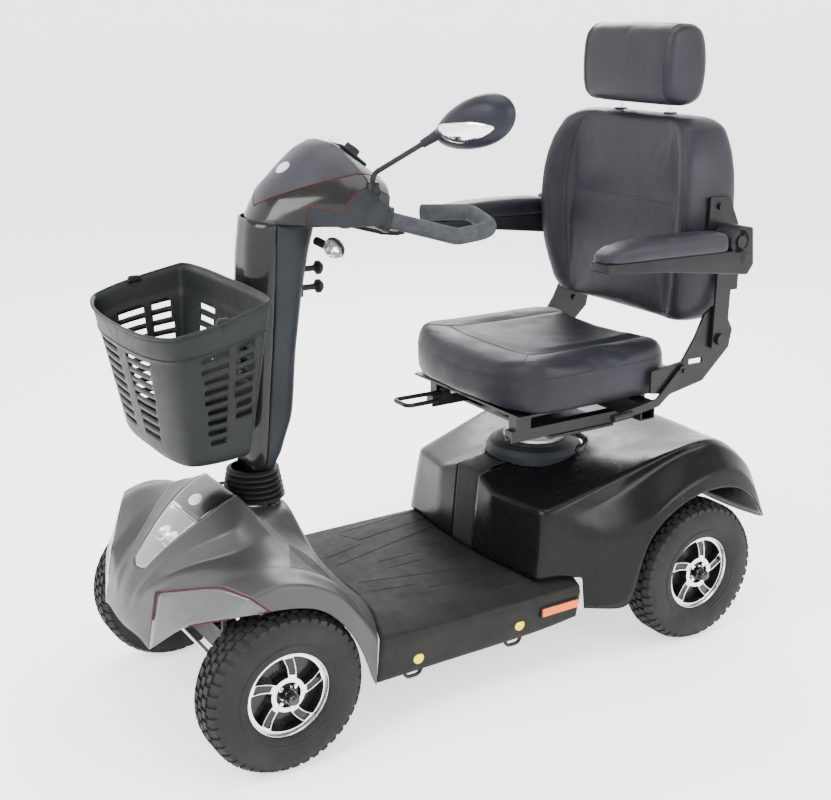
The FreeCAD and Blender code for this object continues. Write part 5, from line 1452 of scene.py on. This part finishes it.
rim_bead = tube("rim_bead", [p + Vector((0, 0, -0.001)) for p in tub_ring(1.0, 1.0)], 0.0032, "basket", 4,
                cyclic=True)
step_bead = tube("step_bead", tub_ring(0.82, 0.8), 0.0022, "basket", 3, cyclic=True)
ears = []
for s in (-1, 1):
    ears.append(extruded("ear", [(-592, 868), (-560, 868), (-566, 880), (-586, 880)], s * 216, s * 224,
                         "basket", 0.002))
    ears.append(lathe("ear_stud", [(0, 0.004), (0.005, 0.0035), (0.007, 0.001), (0.007, -0.004)],
                      mm(s * 222, -576, 862), (s, 0, 0), "basket", 24))
place(joined("basket_tub", [wall, floor_ids, rim_bead, step_bead] + ears), "basket_body", ["basket"])

# ------------------------------------------------------------------ mirror
MC = mm(345, -134, 1204)
ML = Vector((0.857, 0.358, 0.330)).normalized()
MF = Vector((-0.385, 0.923, 0.0)).normalized()
MU = MF.cross(ML).normalized()
DOME = [(0.0, -30.5), (0.20, -30.2), (0.36, -29.2), (0.53, -26.8), (0.68, -23.2), (0.80, -18.2),
        (0.90, -11.0),
        (0.965, -3.0), (1.0, 7.0)]


def egg_point(a, rho, push, grow=0.0):
    high = 45 * (1 + 0.16 * math.cos(a))
    across = ML * (86 * rho + grow) * math.cos(a)
    return MC + (across + MU * (high * rho + grow) * math.sin(a) + MF * push) * MM


mirror_rings = []
for rho, push in DOME[1:] + [(1.0, 8.4), (0.985, 9.0), (0.955, 8.2), (0.945, 5.0)]:
    mirror_rings.append([egg_point(2 * math.pi * k / 48, rho, push) for k in range(48)])
mirror_case = closed_up(rings("mirror_case", mirror_rings, "mirror_shell", True, True))
for poly in mirror_case.data.polygons:
    poly.use_smooth = len(poly.vertices) == 4
glass_rings = [[egg_point(2 * math.pi * k / 48, r,
                          5.4 + 1.4 * (1 - r * r)) for k in range(48)] for r in (0.94, 0.6, 0.3, 0.02)]
glass = rings("mirror_glass", glass_rings, "mirror", True, True)


def dome_push(rho):
    for (r0, p0), (r1, p1) in zip(DOME, DOME[1:]):
        if r0 <= rho <= r1:
            return p0 + (p1 - p0) * (rho - r0) / (r1 - r0)
    return DOME[-1][1]


insert_outline = [(-62, -9), (-50, 12), (-24, 27), (12, 31), (44, 26), (50, 18), (18, 1), (-22, -10),
                  (-56, -16)]
insert_loop = closed_smooth([Vector((u, v, 0)) for u, v in insert_outline], 5)
centre_uv = Vector((-12, 8, 0))
insert_verts, insert_faces = [], []
steps_in = [1.0, 0.94, 0.7, 0.4, 0.05]
for n, f in enumerate(steps_in):
    for p in insert_loop:
        q = centre_uv + (p - centre_uv) * f
        a = math.atan2(q.y / 45, q.x / 86)
        rho = math.hypot(q.x / 86, q.y / (45 * (1 + 0.16 * math.cos(a))))
        lift = 0.2 if n == 0 else 1.6
        insert_verts.append(MC + (ML * q.x + MU * q.y + MF * (dome_push(rho) - lift)) * MM)
m = len(insert_loop)
for n in range(len(steps_in) - 1):
    for k in range(m):
        insert_faces.append((n * m + k, n * m + (k + 1) % m, (n + 1) * m + (k + 1) % m, (n + 1) * m + k))
insert_faces.append(tuple((len(steps_in) - 1) * m + k for k in range(m)))
insert = closed_up(make("mirror_insert", insert_verts, insert_faces, "chrome"))
stem_way = (mm(262, -168, 1173) - mm(150, -228, 1100)).normalized()
neck_start = mm(262, -168, 1173) - stem_way * 0.022
neck = tube("mirror_neck", [neck_start, neck_start + stem_way * 0.020, neck_start + stem_way * 0.040,
                            neck_start + stem_way * 0.052], 0.009, "mirror_shell", 6,
            radii=[0.92, 1.0, 1.2, 1.25])
place(joined("mirror_housing", [mirror_case, glass, insert, neck]), "mirror", ["mirror_head"])


# ------------------------------------------------------------------ upholstery
def puffed(ob, cap, held=None, voxel=0.006, pressure=4.0, frames=20):
    """Inflate a pad as sewn cloth: held(point) gives how strongly a spot is sewn down."""
    remesh = ob.modifiers.new("remesh", "REMESH")
    remesh.mode = "VOXEL"
    remesh.voxel_size = voxel
    remesh.use_smooth_shade = True
    applied(ob)
    relax = ob.modifiers.new("relax", "SMOOTH")
    relax.factor = 0.5
    relax.iterations = 4
    applied(ob)
    start = [v.co.copy() for v in ob.data.vertices]
    group = ob.vertex_groups.new(name="sewn")
    for v in ob.data.vertices:
        weight = held(v.co / MM) if held else 0.0
        if weight > 0:
            group.add([v.index], weight, "REPLACE")
    cloth = ob.modifiers.new("cloth", "CLOTH")
    setup = cloth.settings
    setup.quality = 4
    setup.mass = 0.3
    setup.use_pressure = True
    setup.uniform_pressure_force = pressure
    setup.effector_weights.gravity = 0.0
    setup.tension_stiffness = 30
    setup.compression_stiffness = 30
    setup.shear_stiffness = 12
    setup.bending_stiffness = 1.5
    setup.vertex_group_mass = "sewn"
    cloth.collision_settings.use_collision = False
    cloth.point_cache.frame_start = 1
    cloth.point_cache.frame_end = frames
    scene = bpy.context.scene
    for frame_no in range(1, frames + 1):
        scene.frame_set(frame_no)
    applied(ob)
    for v, a in zip(ob.data.vertices, start):
        move = v.co - a
        if move.length > cap:
            v.co = a + move.normalized() * cap
    scene.frame_set(1)
    ob.vertex_groups.clear()
    relax = ob.modifiers.new("relax", "SMOOTH")
    relax.factor = 0.4
    relax.iterations = 2
    applied(ob)
    subdivided(ob, 1)
    applied(ob)
    for poly in ob.data.polygons:
        poly.use_smooth = True
    return ob


def near_line(p, a, b, width, along=(0, 1)):
    """Closeness of a point to a segment in two of its coordinates, 1 on it and 0 beyond a width."""
    i, j = along
    px, py, ax, ay, bx, by = p[i], p[j], a[0], a[1], b[0], b[1]
    dx, dy = bx - ax, by - ay
    t = max(0, min(1, ((px - ax) * dx + (py - ay) * dy) / (dx * dx + dy * dy)))
    d = math.hypot(px - ax - t * dx, py - ay - t * dy)
    return max(0.0, 1 - d / width)


def bump_at(value, centre, width):
    return math.exp(-((value - centre) / width) ** 2)


# seat cushion: dished centre, raised side and front rolls
def cushion_top(x, y):
    rise = 682 + 12 * bump_at(abs(x), 192, 62) * min(1, (y - 40) / 200) + 9 * bump_at(y, 122, 55)
    rise -= 14 * bump_at(x, 0, 120) * bump_at(y, 330, 130)
    rise -= 30 * max(0, (112 - y) / 60) ** 2
    return rise


pad_sections = []
for w, grow, drop in ((0.0, -30, 0), (0.0, -12, 0), (0.05, -5, 0), (0.2, 0, 0), (0.55, 2, 0), (0.82, -1, 0),
                      (0.95, -7, 0), (1.0, -20, 0)):
    ring = []
    for k in range(72):
        a = 2 * math.pi * k / 72
        ca, sa = math.cos(a), math.sin(a)
        power = 0.42 if sa < 0 else 0.34
        x = math.copysign(abs(ca) ** power, ca) * (240 + grow)
        y = 281 + math.copysign(abs(sa) ** power, sa) * (222 + grow)
        if y < 150:
            y += 22 * (abs(x) / 240) ** 2 * (150 - y) / 90
            x *= 1 - 0.03 * (150 - y) / 90
        z = 579 + (cushion_top(x, y) - 579) * w + (12 * (1 - w) * max(0,
                (130 - y) / 70) ** 1.5 if y < 130 else 0)
        ring.append(mm(x, y, z))
    pad_sections.append(ring)
for f in (0.8, 0.6, 0.4, 0.2, 0.02):
    ring = []
    for p in pad_sections[7]:
        q = mm(0, 290, 0).lerp(Vector((p.x, p.y, 0)), f)
        ring.append(Vector((q.x, q.y, cushion_top(q.x / MM, q.y / MM) * MM + 0.001)))
    pad_sections.append(ring)
cushion = closed_up(rings("seat_pad", pad_sections, "leather", True, True))


def cushion_sewn(p):
    if p.z < 586:
        return 1.0
    if p.z <= 640:
        return 0
    return max(near_line((abs(p.x), p.y), (152, 150), (148, 470), 7),
               near_line((abs(p.x), p.y), (-2, 152), (152, 150), 7),
               near_line((abs(p.x), p.y), (152, 150), (205, 96), 7))


puffed(cushion, 0.009, cushion_sewn, voxel=0.0065, pressure=3.0)
place(cushion, "seat", ["seat_cushion"])
cushion_tree = tree_of(cushion)
welts = []


def welt(tree, points, way, radius=0.0014, rows=(0.0055, -0.0055)):
    path = steps_between(points)
    cord = laid("welt", tree, path, way, radius, "leather", -0.0004)
    made = [cord] if cord else []
    for offset in rows:
        made += stitched("stitches", tree, path, way, offset)
    return made


for s in (-1, 1):
    welts += welt(cushion_tree, [mm(s * 152, 150, 800), mm(s * 148, 468, 800)], (0, 0, -1),
                  rows=(0.0055 * s,))
    welts += welt(cushion_tree, [mm(s * 152, 150, 800), mm(s * 203, 98, 800)], (0, 0, -1), rows=(0.0055 * s,))
welts += welt(cushion_tree, [mm(-150, 152, 800), mm(150, 152, 800)], (0, 0, -1), rows=(0.0055,))
# seam round the upper edge of the side band, thrown in from outside
for height, rows in ((0.662, (0.005,)),):
    around = []
    for k in range(181):
        a = math.radians(-90 + 2 * k - 180)
        around.append(Vector((math.cos(a), math.sin(a), 0)))
    path = []
    for way in around:
        origin = Vector((0, 0.285, height - (0.016 * max(0, -way.y) ** 3)))
        at, normal = hit(cushion_tree, origin + way * 0.5, -way)
        if at is not None:
            path.append((at + normal * -0.0003, normal))
    welts.append(tube("band_welt", [p for p, n in path], 0.0014, "leather", 3))
    rows_v = []
    for (a, na), (b, nb) in zip(path[::1], path[1::1]):
        mid = (a + b) / 2 + Vector((0, 0, -0.0055))
        run = (b - a).normalized()
        if (b - a).length > 0.0045:
            welts.append(tube("stitch", [mid - run * 0.002 + na * 0.0004, mid + run * 0.002 + na * 0.0004],
                              0.0005, "thread", 1))
place(joined("seat_pad_seams", welts), "seat")

# backrest: centre panel between forward-standing side bolsters
PIVOT_P = mm(0, 600, 690)
LEAN = Matrix.Translation(PIVOT_P) @ Matrix.Rotation(math.radians(-1.0), 4,
                                                     "X") @ Matrix.Translation(-PIVOT_P)
BACK_TABLE = [(722, 216, 5), (740, 234, 14), (850, 254, 38), (980, 261, 46), (1080, 250, 36), (1150, 222, 16),
              (1172, 198, 5)]


def back_ring(z, inset):
    half = smooth_between(BACK_TABLE, 1, z) - inset
    wing = smooth_between(BACK_TABLE, 2, z)
    right = [(0, 523), (half * 0.45, 522), (half - 74, 520), (half - 46, 520 - wing * 0.75),
             (half - 26, 521 - wing),
             (half - 8, 532 - wing), (half, 560 - wing * 0.5), (half - 1, 596), (half - 8, 622),
             (half - 34, 634),
             (half * 0.5, 638), (0, 639)]
    loop = [Vector((x, y, z)) for x, y in right] + [Vector((-x, y, z)) for x, y in reversed(right[1:-1])]
    depth = inset * 0.9
    ring = []
    for p in closed_smooth(loop, 4):
        y = 578 + (p.y - 578) * (1 - depth / 60)
        ring.append(LEAN @ (Vector((p.x, y, z)) * MM))
    return ring


back_sections = [back_ring(z, inset) for z, inset in
                 [(723, 26), (726, 12), (734, 4), (760, 0), (800, 0), (850, 0), (900, 0), (940, 0),
                  (980, 0), (1020, 0),
                  (1060, 0), (1100, 0), (1130, 1), (1150, 4), (1162, 10), (1169, 20), (1171, 34)]]
back = closed_up(rings("back_pad", back_sections, "leather", True, True))


def back_edge_x(z):
    """Where the centre panel meets the bolster at a height."""
    return smooth_between(BACK_TABLE, 1, min(1171, max(723, z))) - 66


def back_sewn(p):
    if p.y > 600:
        return 1.0 if p.y > 624 else 0.4
    side = max(0.0, 1 - abs(abs(p.x) - back_edge_x(p.z)) / 7.0) if p.y < 560 else 0
    mid = max(0.0, 1 - abs(p.z - 985) / 7.0) if abs(p.x) < back_edge_x(985) and p.y < 560 else 0
    return max(side, mid)


puffed(back, 0.009, back_sewn, voxel=0.0065, pressure=3.0)
place(back, "back", ["backrest"])
back_tree = tree_of(back)
back_seams = []
for s in (-1, 1):
    line = [Vector((s * back_edge_x(z) * MM, 0.2, z * MM)) for z in range(738, 1166, 12)]
    back_seams += welt(back_tree, line, (0, 1, 0), rows=(0.0055 * s,))
    outer = [Vector((s * (smooth_between(BACK_TABLE, 1, z) - 16) * MM, 0.2, z * MM)) for z in range(800,
            1150, 12)]
    back_seams += welt(back_tree, outer, (0, 1, 0), rows=(0.0045, -0.0045))
edge = back_edge_x(985)
back_seams += welt(back_tree, [Vector((-edge * MM, 0.2, 0.985)), Vector((edge * MM, 0.2, 0.985))],
                   (0, 1, 0), rows=())
place(joined("back_pad_seams", back_seams), "back")

# headrest
def head_ring(x, inset):
    loop = [(510, 1206), (499, 1250), (498, 1300), (506, 1346), (530, 1364), (566, 1367), (598, 1358),
            (616, 1320),
            (620, 1270), (616, 1225), (596, 1198), (546, 1192)]
    pts = [Vector((x, y, z)) for y, z in loop]
    ring = []
    for p in closed_smooth(pts, 4):
        y = 558 + (p.y - 558) * (1 - inset / 60)
        z = 1280 + (p.z - 1280) * (1 - inset / 86)
        ring.append(LEAN @ (Vector((x, y, z)) * MM))
    return ring


pillow = closed_up(rings("head_pad", [head_ring(x, i) for x, i in
                                      [(-151, 30), (-149, 14), (-144, 6), (-134, 2), (-105, 0), (-50, 0),
                                       (0, 0),
                                       (50, 0), (105, 0), (134, 2), (144, 6), (149, 14), (151, 30)]],
                         "leather"))
puffed(pillow, 0.006, lambda p: max(0.0, 1 - abs(abs(p.x) - 130) / 7.0) if p.z > 1200 else 0.5, voxel=0.006,
       pressure=2.0)
place(pillow, "head_pad", ["headrest"])
pillow_tree = tree_of(pillow)
pillow_seams = []
for s in (-1, 1):
    path = []
    for k in range(120):
        a = 2 * math.pi * k / 119
        way = Vector((0, math.cos(a), math.sin(a)))
        at, normal = hit(pillow_tree, Vector((s * 0.130, 0.558, 1.280)) + way * 0.2, -way)
        if at is not None:
            path.append(at - way * 0.0003)
    pillow_seams.append(tube("welt", path, 0.0017, "leather", 3))
    for a, b in zip(path[::2], path[1::2]):
        mid = (a + b) / 2 + Vector((-s * 0.005, 0, 0))
        at, normal = hit(pillow_tree, mid + (mid - Vector((mid.x, 0.558, 1.280))).normalized() * 0.03,
                         Vector((mid.x, 0.558, 1.280)) - mid)
        if at is not None:
            run = (b - a).normalized() * 0.002
            pillow_seams.append(tube("stitch", [at - run, at + run], 0.0005, "thread", 1))
posts = [tube("post", [LEAN @ mm(s * 83, 575, 1050), LEAN @ mm(s * 83, 575, 1203)], 0.006,
              "chrome") for s in (-1, 1)]
place(joined("head_posts", posts), "head_pad", ["headrest"])
place(joined("head_pad_seams", pillow_seams), "head_pad")

# armrests: plastic tray with a padded top
for side, label in ((1, "left"), (-1, "right")):
    body = "arm_" + label[0]
    lo, hi = sorted((side * 285, side * 340))
    tray = extruded("arm_tray_" + label, [(196, 885), (350, 876), (590, 850), (606, 872), (596, 952),
                                          (556, 958),
                                          (540, 905), (196, 905)], lo, hi, "arm", 0.004, 4)
    hub = lathe("arm_hub", [(8.2 * MM, 0.0), (0.0250, 0.0), (0.0258, 0.002), (0.0258, 0.053), (0.0250, 0.055),
                            (8.2 * MM, 0.055)], mm(side * 285, 558, 925), (side, 0, 0), "arm", 48)
    cover_cap = lathe("arm_cap", [(0, 0.0565), (0.010, 0.0563), (0.0125, 0.0550), (0.0128, 0.0540)],
                      mm(side * 285, 578, 888), (side, 0, 0), "arm", 32)
    whole = joined("arm_base_" + label, [tray, hub, cover_cap])
    whole.matrix_world = LEAN @ whole.matrix_world
    bpy.context.view_layer.update()
    place(whole, body, ["armrest_" + label])
    sections = []
    for y, half, top, low in ((192, 10, 917, 905.5), (196, 20, 921, 904.5), (206, 27, 927, 904),
                              (225, 32, 935, 903.5),
                              (260, 34.5, 941, 903.5), (300, 35, 945, 903.5), (340, 35, 946.5, 903.5),
                              (400, 35, 947, 903.5), (460, 35, 947, 903.5), (500, 34.5, 946.5, 903.5),
                              (516, 33.5, 945, 904), (522, 31, 942, 905), (524.5, 24, 936, 909)):
        ring = []
        mid = (top + low) / 2
        for k in range(36):
            a = 2 * math.pi * k / 36
            ca, sa = math.cos(a), math.sin(a)
            power = 0.62 if sa > 0 else 0.28
            x = side * 313 + math.copysign(abs(ca) ** 0.5, ca) * half
            z = mid + math.copysign(abs(sa) ** power, sa) * (top - low) / 2
            ring.append(LEAN @ mm(x, y, z))
        sections.append(ring)
    pad = closed_up(rings("arm_pad_" + label, sections, "leather", True, True))
    puffed(pad, 0.003, lambda p: 1.0 if p.z < 912 else 0.0, voxel=0.004, pressure=1.5, frames=12)
    place(pad, body, ["armrest_" + label])

# ------------------------------------------------------------------ camera, light and floor
scene = bpy.context.scene
cam_data = bpy.data.cameras.new("photo_view")
cam_data.sensor_width = 36.0
cam_data.lens = 55.86
cam = bpy.data.objects.new("photo_view", cam_data)
scene.collection.objects.link(cam)
cam.location = (2.2643, -1.4698, 1.4088)
away = Vector((0.8077, -0.5109, 0.2943))
cam.rotation_euler = away.to_track_quat("Z", "Y").to_euler()
scene.camera = cam


def lamp(name, where, at, size, power, colour=(1, 1, 1)):
    data = bpy.data.lights.new(name, "AREA")
    data.shape = "RECTANGLE"
    data.size = size[0]
    data.size_y = size[1]
    data.energy = power
    data.color = colour
    ob = bpy.data.objects.new(name, data)
    scene.collection.objects.link(ob)
    ob.location = where
    ob.rotation_euler = (Vector(where) - Vector(at)).to_track_quat("Z", "Y").to_euler()
    return ob


lights = [
    lamp("key", (0.6, -3.4, 3.2), (0, 0, 0.6), (2.4, 1.6), 190, (1.0, 0.985, 0.96)),
    lamp("side", (3.6, 1.6, 2.2), (0, 0.1, 0.6), (1.6, 2.4), 120, (0.95, 0.98, 1.0)),
    lamp("top", (0, 0.1, 4.2), (0, 0, 0), (3.0, 3.0), 150),
    lamp("rim", (-3.0, 2.2, 2.8), (0, 0, 0.7), (1.6, 1.6), 110),
]
world = bpy.data.worlds.new("studio")
scene.world = world
world.use_nodes = True
sky = world.node_tree
back_node = sky.nodes["Background"]
gradient = sky.nodes.new("ShaderNodeTexGradient")
coord = sky.nodes.new("ShaderNodeTexCoord")
mapping = sky.nodes.new("ShaderNodeMapping")
mapping.inputs["Rotation"].default_value = (0, math.radians(90), 0)
sky.links.new(coord.outputs["Generated"], mapping.inputs["Vector"])
sky.links.new(mapping.outputs["Vector"], gradient.inputs["Vector"])
sky.links.new(ramp(sky, gradient.outputs["Fac"], (0.92, 0.93, 0.95), (0.98, 0.98, 0.98), 0.2, 0.8),
              back_node.inputs["Color"])
back_node.inputs["Strength"].default_value = 1.3

floor_mat, floor_tree, floor_shader, floor_coord = nodes_of("studio_floor")
floor_tree.links.new(ramp(floor_tree, noise_node(floor_tree, floor_coord, 0.7, 3), (0.93, 0.93, 0.93),
                          (0.95, 0.95, 0.95)), floor_shader.inputs["Base Color"])
floor_shader.inputs["Roughness"].default_value = 0.75
floor_shader.inputs["Emission Color"].default_value = (1, 1, 1, 1)
floor_shader.inputs["Emission Strength"].default_value = 1.2
M["studio_floor"] = floor_mat
dish = [(8.0, 0.0), (20.0, 0.0), (60.0, 0.0), (80.0, 6.0), (90.0, 24.0), (94.0, 60.0)]
DISH_SIDES = 48
dish_angles = [math.radians(360 / DISH_SIDES * k) for k in range(DISH_SIDES)]
dish_verts = [(r * math.cos(a), r * math.sin(a), z - 0.0005) for r, z in dish for a in dish_angles]
dish_faces = [tuple(range(DISH_SIDES))]
for i in range(len(dish) - 1):
    for k in range(DISH_SIDES):
        a, b = i * DISH_SIDES + k, i * DISH_SIDES + (k + 1) % DISH_SIDES
        dish_faces.append((a, a + DISH_SIDES, b + DISH_SIDES, b))
ground = make("studio_ground", dish_verts, dish_faces, "studio_floor", True)
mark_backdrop(ground, cam, *lights)

low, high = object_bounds()
